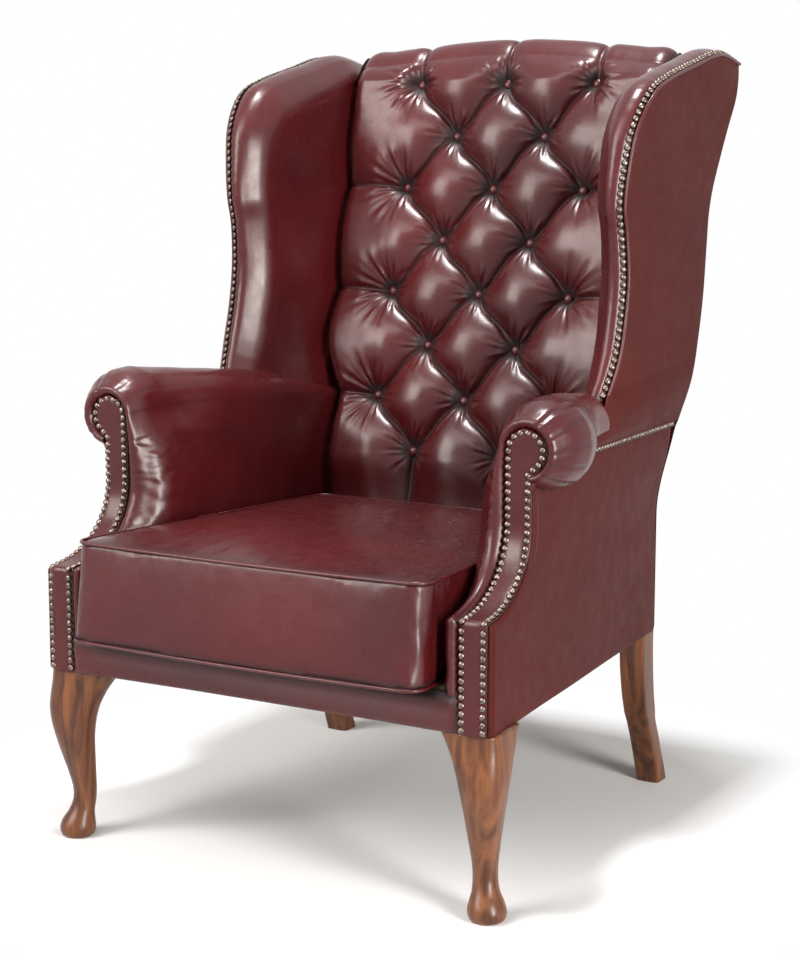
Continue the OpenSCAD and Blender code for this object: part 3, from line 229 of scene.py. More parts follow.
def nail_material():
    """Antiqued brass: the crowns are worn to metal, and the rims are darkened brown with painted
    shade.
    """
    s = Shader("antique_brass", Metallic=1.0)
    rim = s.add(ATTRIBUTE, attribute_name="crease")["Fac"]
    # Tarnish in specks of 3 mm, and wear in specks of 2 mm
    specks = s.add(NOISE, {"Vector": s.place, "Scale": every(3.125), "Detail": 2})["Fac"]
    specks = s.add(RANGE, [specks, 0.4, 0.6, 0, 1])["Result"]
    tone = s.add(MIX, {FACTOR: specks, FIRST: linear("#8E8078"), SECOND: linear("#5A4E46")},
                 data_type="RGBA")[COLOUR]
    # Painted shade: the rims turn dark brown where the heads meet the leather
    s.set("Base Color", s.add(MIX, {FACTOR: rim, FIRST: tone, SECOND: linear("#1E1612")},
                              data_type="RGBA")[COLOUR])
    worn = s.add(NOISE, {"Vector": s.place, "Scale": every(2), "Detail": 2})["Fac"]
    s.set("Roughness", s.add(RANGE, [worn, 0.3, 0.7, 0.3, 0.5])["Result"])
    return s.material


def cloth_material(name, light, dark, thread):
    """Plain woven cloth: it is matt, and threads that many millimetres apart cross in two tones."""
    s = Shader(name, Roughness=0.9)
    # A brick of the texture covers about four threads
    weave = s.add("ShaderNodeTexBrick", {"Vector": s.place, "Scale": every(4 * thread)})["Fac"]
    s.set("Base Color", s.add(MIX, {FACTOR: weave, FIRST: linear(light), SECOND: linear(dark)},
                              data_type="RGBA")[COLOUR])
    bump = s.add(BUMP, {"Height": weave, "Strength": 0.3, "Distance": 0.0003})
    s.set("Normal", bump["Normal"])
    return s.material


def timber_material():
    """Planed beech of the hidden frame: pale, plain and matt, with a faint long grain."""
    s = Shader("beech", Roughness=0.6)
    along = s.add(MAPPING, {"Vector": s.place, "Scale": (every(16.67), every(166.7), every(16.67))})
    grain = s.add(NOISE, {"Vector": along["Vector"], "Scale": 1, "Detail": 5, "Distortion": 1})
    s.set("Base Color", s.add(MIX, {FACTOR: grain["Fac"], FIRST: linear("#C79A6A"),
                                    SECOND: linear("#A97C4E")}, data_type="RGBA")[COLOUR])
    return s.material


def steel_material():
    """Drawn steel of the springs and bolts: grey, with the uneven shine of bare wire."""
    s = Shader("spring_steel", Metallic=1.0)
    tone = s.add(NOISE, {"Vector": s.place, "Scale": every(12.5), "Detail": 2})["Fac"]
    s.set("Base Color", s.add(MIX, {FACTOR: tone, FIRST: linear("#9A9C9E"),
                                    SECOND: linear("#7C7E80")}, data_type="RGBA")[COLOUR])
    drawn = s.add(NOISE, {"Vector": s.place, "Scale": every(5), "Detail": 2})["Fac"]
    s.set("Roughness", s.add(RANGE, [drawn, 0.3, 0.7, 0.3, 0.45])["Result"])
    return s.material


walnut = wood_material()
brass = nail_material()
linen = cloth_material("linen", "#CDBB94", "#A8966F", 0.8)
lining = cloth_material("black_lining", "#161616", "#060606", 0.6)
filling = cloth_material("filling", "#E9E2CE", "#D9D0B8", 1.5)
beech = timber_material()
steel = steel_material()
BY_SLOT = {"frame_wood": beech, "leg_wood": walnut, "steel": steel, "cloth": linen,
           "wadding": filling, "leather": oxblood, "nail_metal": brass, "dust_cloth": lining}
for part in frame["record"]["subparts"]:
    node = frame["nodes"][part["node"]]
    node.data.materials.clear()
    node.data.materials.append(BY_SLOT[part["material_slot"]])


# Building pieces

def finish_piece(name, bm, material, body, nodes, smooth=0, solid=0.0):
    mesh = bpy.data.meshes.new(name)
    bm.to_mesh(mesh)
    bm.free()
    for face in mesh.polygons:
        face.use_smooth = True
    piece = bpy.data.objects.new(name, mesh)
    bpy.context.scene.collection.objects.link(piece)
    mesh.materials.append(material)
    if solid:
        shell = piece.modifiers.new("thickness", "SOLIDIFY")
        shell.thickness = solid * MM
        shell.offset = -1
    if smooth:
        soft = piece.modifiers.new("smooth", "SUBSURF")
        soft.levels = soft.render_levels = smooth
    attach(piece, body)
    if nodes:
        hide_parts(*nodes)
    return piece


def surface(name, shape, columns, rows, body="chair", nodes=(), material=None, side=1, **extra):
    """A sheet from shape(u, v), which gives x, y, z and how much painted shade the point takes in
    folds, seams and hollows.
    """
    bm = bmesh.new()
    bmesh.ops.create_grid(bm, x_segments=columns, y_segments=rows, size=1)
    painted_shade = bm.verts.layers.float.new("crease")
    for v in bm.verts:
        x, y, z, deep = shape((v.co.x + 1) / 2, (v.co.y + 1) / 2)
        v.co = mm(x * side, y, z)
        v[painted_shade] = clamp(deep)
    if side < 0:
        bmesh.ops.reverse_faces(bm, faces=bm.faces)
    return finish_piece(name, bm, material or oxblood, body, nodes, **extra)


def tube(name, points, radius, body="chair", nodes=(), closed=False, material=None):
    """A welt: a smooth round tube through points."""
    data = bpy.data.curves.new(name, "CURVE")
    data.dimensions = "3D"
    data.bevel_depth = radius * MM
    data.bevel_resolution = 4
    data.resolution_u = 4
    data.use_fill_caps = True
    line = data.splines.new("NURBS")
    line.points.add(len(points) - 1)
    for spot, p in zip(line.points, points):
        spot.co = tuple(mm(*p)) + (1,)
    line.order_u = 4
    line.use_cyclic_u = closed
    line.use_endpoint_u = not closed
    data.materials.append(material or oxblood)
    piece = bpy.data.objects.new(name, data)
    bpy.context.scene.collection.objects.link(piece)
    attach(piece, body)
    if nodes:
        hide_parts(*nodes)
    return piece


def paced(points, pitch):
    """Places at one pitch along a line of points, as (point, place on the line from 0 to 1)."""
    sums = [0]
    for a, b in zip(points, points[1:]):
        sums.append(sums[-1] + (Vector(b) - Vector(a)).length)
    count = int(sums[-1] / pitch)
    places = []
    k = 0
    for m in range(count + 1):
        at = sums[-1] * m / count
        while k < len(sums) - 2 and sums[k + 1] < at:
            k += 1
        u = (at - sums[k]) / (sums[k + 1] - sums[k])
        place = Vector(points[k]).lerp(Vector(points[k + 1]), u)
        places.append((place, (k + u) / (len(points) - 1)))
    return places


def domes(name, spots, radius, height, nodes, material=None, slot="nail_metal", rounds=14):
    """Low domes, one for each (point, outward direction), with painted shade where they meet what
    they sit on.
    """
    bm = bmesh.new()
    rim = bm.verts.layers.float.new("crease")
    for point, out in spots:
        out = Vector(out).normalized()
        turn = out.to_track_quat("Z", "Y").to_matrix().to_4x4()
        centre = mm(*point)
        scale = Matrix.Diagonal((radius * MM, radius * MM, height * MM, 1))
        made = bmesh.ops.create_uvsphere(bm, u_segments=rounds, v_segments=8, radius=1,
                                         matrix=Matrix.Translation(centre) @ turn @ scale)
        for v in made["verts"]:
            # Painted shade on the lower half of each dome, where it meets the surface
            v[rim] = clamp(1.1 - (v.co - centre).dot(out) / (height * MM) * 2.2)
    piece = finish_piece(name, bm, material or brass, "chair", nodes)
    return piece


# Outlines shared by the arms, wings and back

# The body's underside, its depth at the rails, and half its width at the front and the rear: at
# the rails, at the seam over the arms, and between the arms
BODY_Z, BODY_DEPTH = 250.0, 624.0
RAIL_HALF, SEAM_HALF, ARM_HALF = (350.0, 303.0), (338.0, 325.0), (267.0, 225.0)
# Heights between which the sides spread from the rails to the seam, and the seam's own height
SPREAD_LOW, SPREAD_HIGH, SEAM_Z = 428, 569, 566
# The facing: its block, its sweep back and its round head
BLOCK_TOP, STEM_Z, HEAD_Z, HEAD_X, HEAD_R = 394.0, 500.0, 592.1, 330.3, 29.5
SWEEP, SWEEP_H = 128.0, 106.0
FACING_LEFT, FACING_RIGHT = 302.8, 342.8
# The back: its lean, its lowest buttons, and their distances along and across it
LEAN = math.radians(16.4)
BUTTON_Y, BUTTON_Z, RISE, SIDE = 565.0, 500.0, 83.3, 76.0
RUN = 7 * RISE
TUFT = 40.0
# The crest: the centre and radius of its roll, and where the tufts turn over into it
CREST_H, CREST_R, CREST_IN = 622.0, 42.4, 14.9
TURN_H, TURN_RUN = 586.0, 97.0
ARM_REAR = 581.5


def back_at(h, n):
    """y and z of a place h along the lean and n behind the buttons."""
    return (BUTTON_Y + h * math.sin(LEAN) + n * math.cos(LEAN),
            BUTTON_Z + h * math.cos(LEAN) - n * math.sin(LEAN))


def facing_path(s):
    """y and z of the facing's middle line: up its block to s = 1, its sweep to 2, its stem to 3."""
    if s <= 1:
        return 0.0, mix(BODY_Z, BLOCK_TOP, s)
    if s <= 2:
        a = math.pi / 2 * (s - 1)
        return SWEEP * math.sin(a), STEM_Z - SWEEP_H * math.cos(a)
    return SWEEP, mix(STEM_Z, HEAD_Z, s - 2)


def facing_left(s):
    return FACING_LEFT - 2 * clamp(s - 1)


def facing_right(s):
    return FACING_RIGHT - 4 * clamp(s - 1)


def soft_normal(s):
    """The facing's direction, eased where the block's front turns into the sweep."""
    total = Vector((0, 0, 0))
    for d in (-0.3, -0.2, -0.1, 0, 0.1, 0.2, 0.3):
        total += Vector(facing_normal(clamp(s + d, 0, 3)))
    return total.normalized()


def facing_normal(s):
    if s < 1 or s > 2:
        return 0.0, -1.0, 0.0
    a = math.pi / 2 * (s - 1)
    n = Vector((0, -SWEEP_H * math.sin(a), SWEEP * math.cos(a))).normalized()
    return tuple(n.lerp(Vector((0, -1, 0)), clamp(1 - (s - 1) * 9) * 0.5).normalized())


def seam_x(y):
    return mix(*SEAM_HALF, y / BODY_DEPTH)


def side_x(y, z):
    spread = ease((z - SPREAD_LOW) / (SPREAD_HIGH - SPREAD_LOW))
    return mix(mix(*RAIL_HALF, y / BODY_DEPTH), seam_x(y), spread)


# The rear corners: y and x by height
REAR_LINE = [(250, 624), (530, 624), (566, 638), (628, 672), (740, 710), (890, 745), (1000, 784),
             (1060, 808), (1092, 812)]
REAR_EDGE = [(566, 325), (600, 334), (628, 337), (740, 335), (890, 328), (1000, 340), (1060, 349),
             (1092, 341)]
REAR_TOP = REAR_LINE[-1][0]


def rear_y(z):
    return by_length(z, REAR_LINE)


def rear_x(z):
    return side_x(BODY_DEPTH, z) if z < SEAM_Z else by_length(z, REAR_EDGE)


# Arms

# How far the inner face leans outwards, by height over the facing's block, as a share of SCROLL_OUT
NECK = [(0, 0), (0.12, -0.15), (0.28, -0.6), (0.5, -0.55), (0.7, -0.15), (0.87, 0.45), (1, 1)]
NECK_H, SCROLL_OUT = 203, 21.3
# The angle in degrees at which the cover of the roll ends, by place along the arm
ARM_END = [(0, -88), (0.1, -80), (0.2, -34), (0.38, -12), (0.5, -4), (0.55, 14), (0.6, 95),
           (0.67, 124), (0.74, 138), (1, 158)]
# The padded front edge: shares of its width inwards, with millimetres proud of the facing
FRONT_ROLL = [(0.02, -1), (0.1, 4), (0.22, 7.5), (0.38, 6), (0.56, -3.5), (0.78, -17), (0.92, -33),
              (1, -56)]
# The roll's half width and half height at the rear and the front, its top and its fall to the rear
ROLL_WIDE, ROLL_HIGH, ROLL_TOP, ROLL_FALL = (49, 58.0), (42.1, 60.5), 657.5, 42.7
# Gathers round the scroll's front: their angles in degrees and shares of the full depth
GATHERS = ((150, 0.4), (112, 0.35), (66, 0.8), (47, 0.6), (30, 0.8), (2, 0.5), (-26, 0.9),
           (-52, 0.7))
# Where the arm's cover starts and ends on the facing's line
FACE_LOW, FACE_HIGH = 0.2, 2.78


def arm_in(y):
    return mix(*ARM_HALF, y / ARM_REAR)


def arm_run(y):
    return clamp((y - SWEEP) / (ARM_REAR - SWEEP))


def arm_fade(y):
    return 1 - ease(arm_run(y) * 2.8)


def roll(y):
    """Half width, half height, x and z of the scroll at y."""
    fade, run = arm_fade(y), arm_run(y)
    rx, rz = mix(*ROLL_WIDE, fade), mix(*ROLL_HIGH, fade)
    return rx, rz, arm_in(y) + SCROLL_OUT * fade + rx, ROLL_TOP - ROLL_FALL * run - rz


def inner_x(y, z):
    lean = smooth_lookup((z - BLOCK_TOP) / NECK_H, NECK)
    return arm_in(y) + arm_fade(y) * SCROLL_OUT * lean


def arm_cover(u, v, side=1):
    """u runs up the inner face and round the scroll, v from the facing's edge to the rear."""
    ring = 0.25
    if v < ring:
        share, proud = curve(FRONT_ROLL, v / ring)
        run = 0.0
    else:
        run = ((v - ring) / (1 - ring)) ** 1.1
        share, proud = 1.0, FRONT_ROLL[-1][1] * (1 - run)
    split = 0.56
    if u < split:
        s = mix(FACE_LOW, FACE_HIGH, u / split)
        fy, fz = facing_path(s)
        n = soft_normal(s)
        low = facing_path(FACE_LOW)[1]
        t = (fz - low) / (HEAD_Z - low)
        _, _, _, rear_z = roll(ARM_REAR)
        y = mix(fy + proud * n[1], ARM_REAR, run)
        z = mix(fz + proud * n[2], mix(low - 16, rear_z, t), run)
        x = mix(facing_left(s) - 0.5, inner_x(y, z), share)
        turn = 180.0
    else:
        t = (u - split) / (1 - split)
        y = mix(SWEEP, ARM_REAR, run)
        end = smooth_lookup(run, ARM_END)
        a = math.radians(mix(180, end, t))
        rx, rz, cx, cz = roll(y)
        full = (cx + rx * math.cos(a), cz + rz * math.sin(a))
        neck = max(a, -math.radians(74))
        x = mix(HEAD_X + (HEAD_R - 1) * math.cos(neck), full[0], share)
        z = mix(HEAD_Z + (HEAD_R - 1) * math.sin(neck), full[1], share)
        # Its rear end sinks behind the outside of the wing
        x -= 10 * ease((run - 0.43) / 0.1) * max(0, math.cos(a)) ** 0.5
        y -= proud
        turn = math.degrees(a)
    # Pleats where the leather is gathered round the scroll's front, with painted shade in them, and
    # soft wrinkles behind them
    deep = 0.0
    near = ease(1 - abs(v - ring * 0.62) / (ring * 1.1))
    if u >= split - 0.02:
        _, _, cx, cz = roll(SWEEP)
        for k, (at, deepness) in enumerate(GATHERS):
            wide = 2.0 + 0.7 * (k % 3)
            d = turn - at - 4 * math.sin(k * 2.1 + side) - 60 * (v - ring / 2) * math.sin(k * 1.7)
            dip = bell(d / wide) * near * clamp(v / ring * 3) * deepness
            deep = max(deep, dip * 0.6)
            pull = 2.2 * dip - 0.8 * bell((abs(d) - 2.2 * wide) / wide) * near * deepness
            x -= (x - cx) / 61 * pull
            z -= (z - cz) / 61 * pull
            y += pull * 0.8 * (1 - clamp(v / ring))
    soft = ripple(x * 0.6, y, z * 0.5 + 40 * side, 46) * 2.2 * (1 - run * 0.6) * clamp(v * 12)
    edge_wrinkle = ripple(x, y * 0.9, z * 2.6 + 90 * side, 17) * 1.4 * near * clamp(v / ring * 4)
    if u < split:
        x += soft + edge_wrinkle
        y += edge_wrinkle * 0.6
        # Painted shade low on the pad, where it bears on the cushion
        deep = max(deep, 0.75 * ease((455 - z) / 60) * ease(run * 8) * 0.5)
    else:
        z += (soft + edge_wrinkle) * 0.7
    # Painted shade along the facing's edge and where the cover ends at the rear
    if v < ring:
        deep = max(deep, 0.5 * ease(1 - v / ring * 12))
    deep = max(deep, 0.8 * ease((run - 0.93) * 14))
    return x, y, z, deep


def arm_shape(side):
    return lambda u, v: arm_cover(u, v, side)


# The upper edge of the outside of the arms, by y
TOP_LINE = [(128, 538), (150, 538), (190, 545), (250, 572), (400, 573), (624, 568)]


def outside_arm_shape(side):
    def shape(u, v):
        s = 2.62 * v
        fy, fz = facing_path(s)
        n = facing_normal(s)
        t = clamp((u - 0.07) / 0.93) ** 1.1
        g = clamp(u / 0.07)
        # The edge beside the facing is rounded by 9 mm
        back_off = 9.0 * (1 - math.cos(g * math.pi / 2))
        start_y, start_z = fy - n[1] * back_off, fz - n[2] * back_off
        if s < 1:
            start_z = min(start_z, BLOCK_TOP - back_off)
        else:
            start_y = max(start_y, back_off)
        end_z = mix(BODY_Z, SEAM_Z, v)
        y = mix(start_y, BODY_DEPTH - 3, t)
        z = mix(start_z, end_z, t)
        lift = by_length(y, TOP_LINE) - mix(fz, end_z, t) if v > 0 else 0
        z += clamp(lift, 0, 60) * v ** 5 * clamp(t * 12)
        edge = facing_right(s) + 0.4
        x = mix(edge, max(side_x(y, z), edge if t < 0.02 else 0), math.sin(g * math.pi / 2))
        x += 2.5 * math.sin(math.pi * t) * math.sin(math.pi * v)
        x += ripple(y, z, 70 * side, 150) * 1.2
        # Painted shade beside the facing and under the seam at the top
        deep = 0.15 * ease(1 - u * 90) + 0.6 * ease((z - 556) / 14) * clamp(t * 4)
        return x, y, z, deep
    return shape


# Wings

# The nailed edge, from the arm up and over to the rear corner, and across the padded roll
# behind it: shares inwards, with millimetres proud of the edge
WING_EDGE = [(315, 391, 628), (322, 415, 680), (323, 431, 732), (323, 440, 790), (321, 436, 851),
             (321, 427, 890), (325, 430, 940), (331, 444, 998), (338, 484, 1046), (339, 538, 1067),
             (340, 627, 1087), (343, 720, 1105), (342, 800, 1093)]
WING_ROLL = [(-0.1, -3.5), (0.07, 1.5), (0.22, 5.0), (0.46, 7.0), (0.72, 5.5), (1, -1.0),
             (1.32, -10), (1.62, -19.5), (1.86, -31), (2.0, -46)]
ROLL_REACH = 26.0
INNER_X = 297.0


def wing_edge(u):
    return Vector(curve(WING_EDGE, clamp(u)))


def wing_out(u):
    d = wing_edge(min(1, u + 0.01)) - wing_edge(max(0, u - 0.01))
    return Vector((0, -d.z, d.y)).normalized()


# Half the width of the tufted back, by share of the chair's height
CHAIR_H = 1135
HALF = [(0.4, 221), (0.49, 221), (0.521, 222), (0.533, 235), (0.545, 247), (0.564, 254),
        (0.67, 252), (0.8, 260), (0.87, 266), (1, 267)]


def half_width(z):
    return smooth_lookup(z / CHAIR_H, HALF)


def back_profile(p, n=0.0):
    """h and n at p millimetres up the back's face, n being the depth there or the height over
    its crest."""
    if p <= TURN_H:
        return p, n
    if p <= TURN_H + TURN_RUN:
        a = (p - TURN_H) / TURN_RUN * math.pi / 2
        return (TURN_H + (CREST_H + CREST_R - TURN_H + n) * math.sin(a),
                CREST_IN - (CREST_R + n) * math.cos(a))
    a = math.pi / 2 + (p - TURN_H - TURN_RUN) / CREST_R
    if a > math.pi:
        return CREST_H - (a - math.pi) * CREST_R, 57.0
    r = CREST_R + n
    return CREST_H + r * math.sin(a), CREST_IN - r * math.cos(a)


# Where the wing meets the back: millimetres up the back's face, by share of the wing's edge
WING_BACK = [(0, 95), (0.5, 430), (0.583, 480), (0.75, 560), (0.9, 622), (0.96, 672), (1, 702)]


def wing_junction(u):
    p = lookup(u, WING_BACK)
    h, n = back_profile(p, 12.0 if p <= TURN_H else -12.0)
    y, z = back_at(h - 15 * clamp((p - RUN) / 60), n)
    return Vector((half_width(z) + 4, y, z))


def roll_reach(share, wide):
    """How far inwards a share of the wing's padded roll lies."""
    return min(share, 1) * wide + max(0, share - 1) * ROLL_REACH


def wing_shape(side):
    def shape(u, v):
        at = mix(-0.02, 1, v)
        edge, out = wing_edge(at), wing_out(at)
        if at < 0:
            edge = edge + (wing_edge(0) - wing_edge(0.02)) * (-at / 0.02) * 1.6
        rim = 0.36
        wide = max(22.0, edge.x - INNER_X)
        if u < rim:
            a, b = curve(WING_ROLL, u / rim)
            p = edge - Vector((roll_reach(a, wide), 0, 0)) + out * b
            # Painted shade in the channel along the nailed edge
            deep = 0.85 * ease(1 - u / rim * 7)
        else:
            t = (u - rim) / (1 - rim)
            a, b = WING_ROLL[-1]
            start = edge - Vector((roll_reach(a, wide), 0, 0)) + out * b
            end = wing_junction(clamp(at))
            low = 1 - ease(v * 9)
            if v < 0.12:
                end.z -= 16 * low
                start.z -= 6 * low
            p = start.lerp(end, t)
            p.x -= 3 * math.sin(math.pi * t) * (1 - 0.6 * v)
            # Painted shade in the seam with the back
            deep = 0.9 * ease((t - 0.88) * 9)
        wave = ripple(p.x, p.y, p.z + 500 * side, 60) * 1.6 * clamp((u - 0.1) * 6)
        p.x += wave
        # Fine puckers beside the nails
        pucker = math.sin(v * 210 + 3 * math.sin(v * 37)) * 0.35 * bell((u - 0.07) / 0.06)
        p += out * pucker
        # Painted shade at the foot, where the wing meets the arm
        deep = max(deep, 0.9 * ease(1 - v * 22))
        return p.x, p.y, p.z, deep
    return shape


def outside_wing_shape(side):
    foot = [Vector((336, 243, 568)), Vector((341, 305, 575)), Vector((336, 352, 596))]

    def front(t):
        if t < 0.16:
            k = 0 if t < 0.08 else 1
            return foot[k].lerp(foot[k + 1], (t - 0.08 * k) / 0.08)
        if t < 0.22:
            return foot[2].lerp(wing_edge(0.02) + Vector((8, 0, 0)), (t - 0.16) / 0.06)
        at = mix(0.02, 1, (t - 0.22) / 0.78)
        return wing_edge(at) + Vector((6.8, 0, 0)) - wing_out(at) * 4.4

    def shape(u, v):
        a = front(v)
        z = mix(SEAM_Z, REAR_TOP + 2, v ** 1.15)
        b = Vector((rear_x(z), rear_y(z), z))
        t = clamp((u - 0.05) / 0.95)
        p = a.lerp(b, t)
        if u < 0.05:
            g = u / 0.05
            p.x -= 4.0 * (1 - math.sin(g * math.pi / 2))
        arch = math.sin(math.pi * t)
        p.x += 3.0 * arch * math.sin(math.pi * clamp(v * 1.1)) * (1 - v)
        p.x += ripple(p.y, p.z, 90 * side, 170) * 1.5 * arch
        # Painted shade along the foot, at the seam with the arm
        deep = 0.7 * ease(1 - v * 30)
        return p.x, p.y, p.z, deep
    return shape


# Deep-buttoned back

BUTTONS = [(k * SIDE, row * RISE)
           for row in range(8) for k in ((-1, 1) if row % 2 == 0 else (-2, 0, 2))]


# The buttons' field as a share of the back's half width, and the run and width of a fold
FIELD = 0.62
FOLD_RUN, FOLD_WIDE = 112, 2.2


def tuft(x, h):
    """Height of the leather over the buttons, from 0 to 1, and how deep it lies in a fold."""
    cx = clamp(x, -2 * SIDE, 2 * SIDE) / (2 * SIDE)
    ch = clamp(h, 0, RUN) / (2 * RISE)
    a, b = cx + ch + 0.5, cx - ch + 0.5
    a, b = a + 0.034 * math.sin(2 * math.pi * b), b - 0.034 * math.sin(2 * math.pi * a)
    fa, fb = abs(a - round(a)), abs(b - round(b))
    pa, pb = (1 - (1 - 2 * fa) ** 2) ** 0.72, (1 - (1 - 2 * fb) ** 2) ** 0.72
    k = 0.42
    high = pa * pb + k * (pa + pb - 2 * pa * pb)
    line = max(bell(fa * FOLD_RUN / FOLD_WIDE), bell(fb * FOLD_RUN / FOLD_WIDE))
    # Beside the outer buttons only a shallow pleat runs on to the wing, and none above the top row
    beside = max(0, abs(x) - 2 * SIDE)
    if beside > 0:
        free = ease((h - RUN + 0.9 * RISE) / (0.5 * RISE))
        free = mix(0.25 + 0.3 * clamp(beside / 50), 1.0, free)
        high = 1 - (1 - high) * (1 - free * (1 - bell(beside / 18)))
        line *= mix(1 - 0.5 * clamp(beside / 60), bell(beside / 8), ease((h - RUN + 30) / 20))
    return high, line


def near_button(x, h):
    """The distance and direction from the nearest button, and its place."""
    best = min(BUTTONS, key=lambda q: (q[0] - x) ** 2 + (q[1] - h) ** 2)
    return math.hypot(best[0] - x, best[1] - h), math.atan2(h - best[1], x - best[0]), best


PROFILE_LOW, PROFILE_HIGH = -105.0, TURN_H + TURN_RUN + CREST_R * math.pi / 2 + 18


def back_shape(u, v):
    p = mix(PROFILE_LOW, PROFILE_HIGH, v)
    h = min(p, CREST_H)
    z0 = back_at(h, 0)[1]
    s = 2 * u - 1
    wide = half_width(z0)
    if abs(s) < FIELD:
        x = s / FIELD * 2 * SIDE
    else:
        t = (abs(s) - FIELD) / (1 - FIELD)
        x = mix(2 * SIDE, wide, t / 0.94) if t < 0.94 else wide + 4 * (t - 0.94) / 0.06
        x = math.copysign(x, s)
    high, line = tuft(x, h)
    r, angle, spot = near_button(x, h)
    outer = abs(spot[0]) > 1.5 * SIDE and abs(x) > abs(spot[0])
    # Creases fan out from each button
    fan = math.cos(angle * 14 + 2.3 * math.sin(spot[0] + spot[1]))
    fan += 0.8 * math.cos(angle * 23 + spot[1])
    fan *= bell((r - 23) / (28 if outer else 15)) * clamp((r - 8) / 8)
    fan *= 0.45 + 0.55 * clamp(math.sin(angle) + 0.4 + (1 if outer else 0))
    rise = TUFT * mix(1, 0.4, ease((-p - 12) / 85))
    over = clamp((p - RUN) / (CREST_H - RUN))
    rise *= mix(1, 0.67, over)
    valley = mix(rise, 6.5 * clamp(1.2 - (p - CREST_H) / 130), over)
    n_out = -rise + valley * (1 - high) ** mix(1, 2.6, over)
    n_out += 1.5 * fan * (1 - 0.9 * over)
    n_out += mix(2.2, 1.2, over) * line * clamp((r - 9) / 10)
    n_out += ripple(x, h, 3, 55) * 1.4 * (1 - over)
    # The edge tucks back into the seam with the wing or the arm
    lap = clamp((abs(x) - wide + 26) / 26)
    tuck = (1 - math.sqrt(1 - 0.999 * lap * lap)) * mix(34, 16, over)
    if p <= TURN_H:
        n_out = min(n_out + tuck, mix(1.0, 14, clamp((abs(x) - wide) / 2)))
        hh, nn = h, n_out - 2.4
    else:
        hh, nn = back_profile(p, -n_out - 27.5 + 2.4 * (1 - over) - tuck)
    fall = 17 * min(1, abs(x) / 221) ** 1.6 * over
    y, z = back_at(hh - fall, nn)
    # Painted shade in the valleys between the tufts, in the fold lines, in the hollows round the
    # buttons and in the seams at the edges
    deep = 0.8 * (1 - high) ** 1.8 * (1 - over * 0.8)
    deep = max(deep, 0.95 * line * (0.35 + 0.65 * (1 - over)))
    deep = max(deep, 0.97 * bell(max(0, r - 10) / 11), 0.9 * lap ** 4)
    return x, y, z, deep


def outside_back_shape(u, v):
    z = mix(BODY_Z, REAR_TOP + 4, v)
    s = 2 * u - 1
    x = s * (rear_x(min(z, REAR_TOP)) - 0.5)
    plane = BUTTON_Y + (z - BUTTON_Z) * math.tan(LEAN) + 60 / math.cos(LEAN)
    middle = max(BODY_DEPTH, min(plane, rear_y(z) + 20))
    y = mix(middle, rear_y(z), s ** 4) + 2 * math.sin(math.pi * u)
    # Painted shade at the side edges, where the rear panel meets the sides
    return x, y, z, 0.6 * ease((abs(s) - 0.985) * 60)


# Front border under the cushion

# Over the nosing and down: y, z and how much painted shade falls under the cushion
BORDER = [(14, 298, 0.9), (4, 302, 1.0), (-4, 301.5, 1.0), (-10, 297.5, 0.95), (-12.5, 291, 0.5),
          (-11.5, 281, 0.1), (-8, 270, 0.0), (-5.5, 260, 0.0), (-4, 253, 0.1), (-2, 249.5, 0.3),
          (4, 248.8, 0.6)]


def border_shape(u, v):
    s = 2 * u - 1
    x = s * 304.0
    sag = 2.5 * (1 - s * s)
    y, z, deep = curve(BORDER, v)
    end = ease((abs(s) - 0.965) / 0.035)
    y = mix(y, max(y, -1.0), end)
    wrinkle = ripple(x * 1.2, z * 0.6, 12, 22) * 1.6 * ease((abs(s) - 0.7) / 0.3)
    long = ripple(x * 0.35, z * 1.4, 5, 40) * 1.2
    y += wrinkle + long - sag * bell((v - 0.35) / 0.2)
    # Painted shade at the ends, where the border meets the facings
    return x, y, z + sag * 0.6, max(deep, 0.6 * end)


# Facing

def facing_shape(u, v):
    """u across the facing from its outer edge, v up it and round its head."""
    body = 0.78
    if v < body:
        s = mix(0.0, 2.45, v / body)
        y, z = facing_path(s)
        left, right = facing_left(s), facing_right(s)
        n = facing_normal(s)
        if s > 2.2:
            wide = (s - 2.2) / 0.25
            right = mix(right, 338.8, wide)
    else:
        t = (v - body) / (1 - body)
        a = mix(-72, 88, t)
        z = HEAD_Z + HEAD_R * math.sin(math.radians(a))
        z = mix(facing_path(2.45)[1], z, clamp(t * 6)) if t < 1 / 6 else z
        half = HEAD_R * math.cos(math.radians(a))
        right = HEAD_X + half
        left = 300.8 if a < 0 else HEAD_X - half
        y, n = SWEEP, (0, -1, 0)
    across = 2 * u - 1
    x = mix(right, left, u)
    puff = 4.5 * (1 - across ** 4) + ripple(x, z, 8, 30) * 0.6
    # Painted shade along both edges, beside the nails
    deep = 0.35 * ease((abs(across) - 0.86) / 0.12)
    return x, y + n[1] * puff, z + n[2] * puff, deep


def facing_line():
    """The nails' line up the inner edge, round the head and down the outer edge."""
    edge = 5.0
    spots = []
    for k in range(61):
        s = mix(0.04, 2.92, k / 60)
        y, z = facing_path(s)
        spots.append(((facing_left(s) + edge, y, z), facing_normal(s)))
    for k in range(23):
        a = math.radians(mix(168, -52, k / 22))
        r = HEAD_R - edge
        spots.append(((HEAD_X + r * math.cos(a), SWEEP, HEAD_Z + r * math.sin(a)), (0, -1, 0)))
    for k in range(58):
        s = mix(2.68, 0.04, k / 57)
        y, z = facing_path(s)
        spots.append(((facing_right(s) - edge, y, z), facing_normal(s)))
    return spots


def place_nails(line, pitch, lift, side):
    points = [p for p, _ in line]
    out = []
    for p, t in paced(points, pitch):
        k = min(int(t * (len(line) - 1)), len(line) - 2)
        n = Vector(line[k][1]).lerp(Vector(line[k + 1][1]), t * (len(line) - 1) - k).normalized()
        q = p + n * lift
        out.append(((q.x * side, q.y, q.z), (n.x * side, n.y, n.z)))
    return out


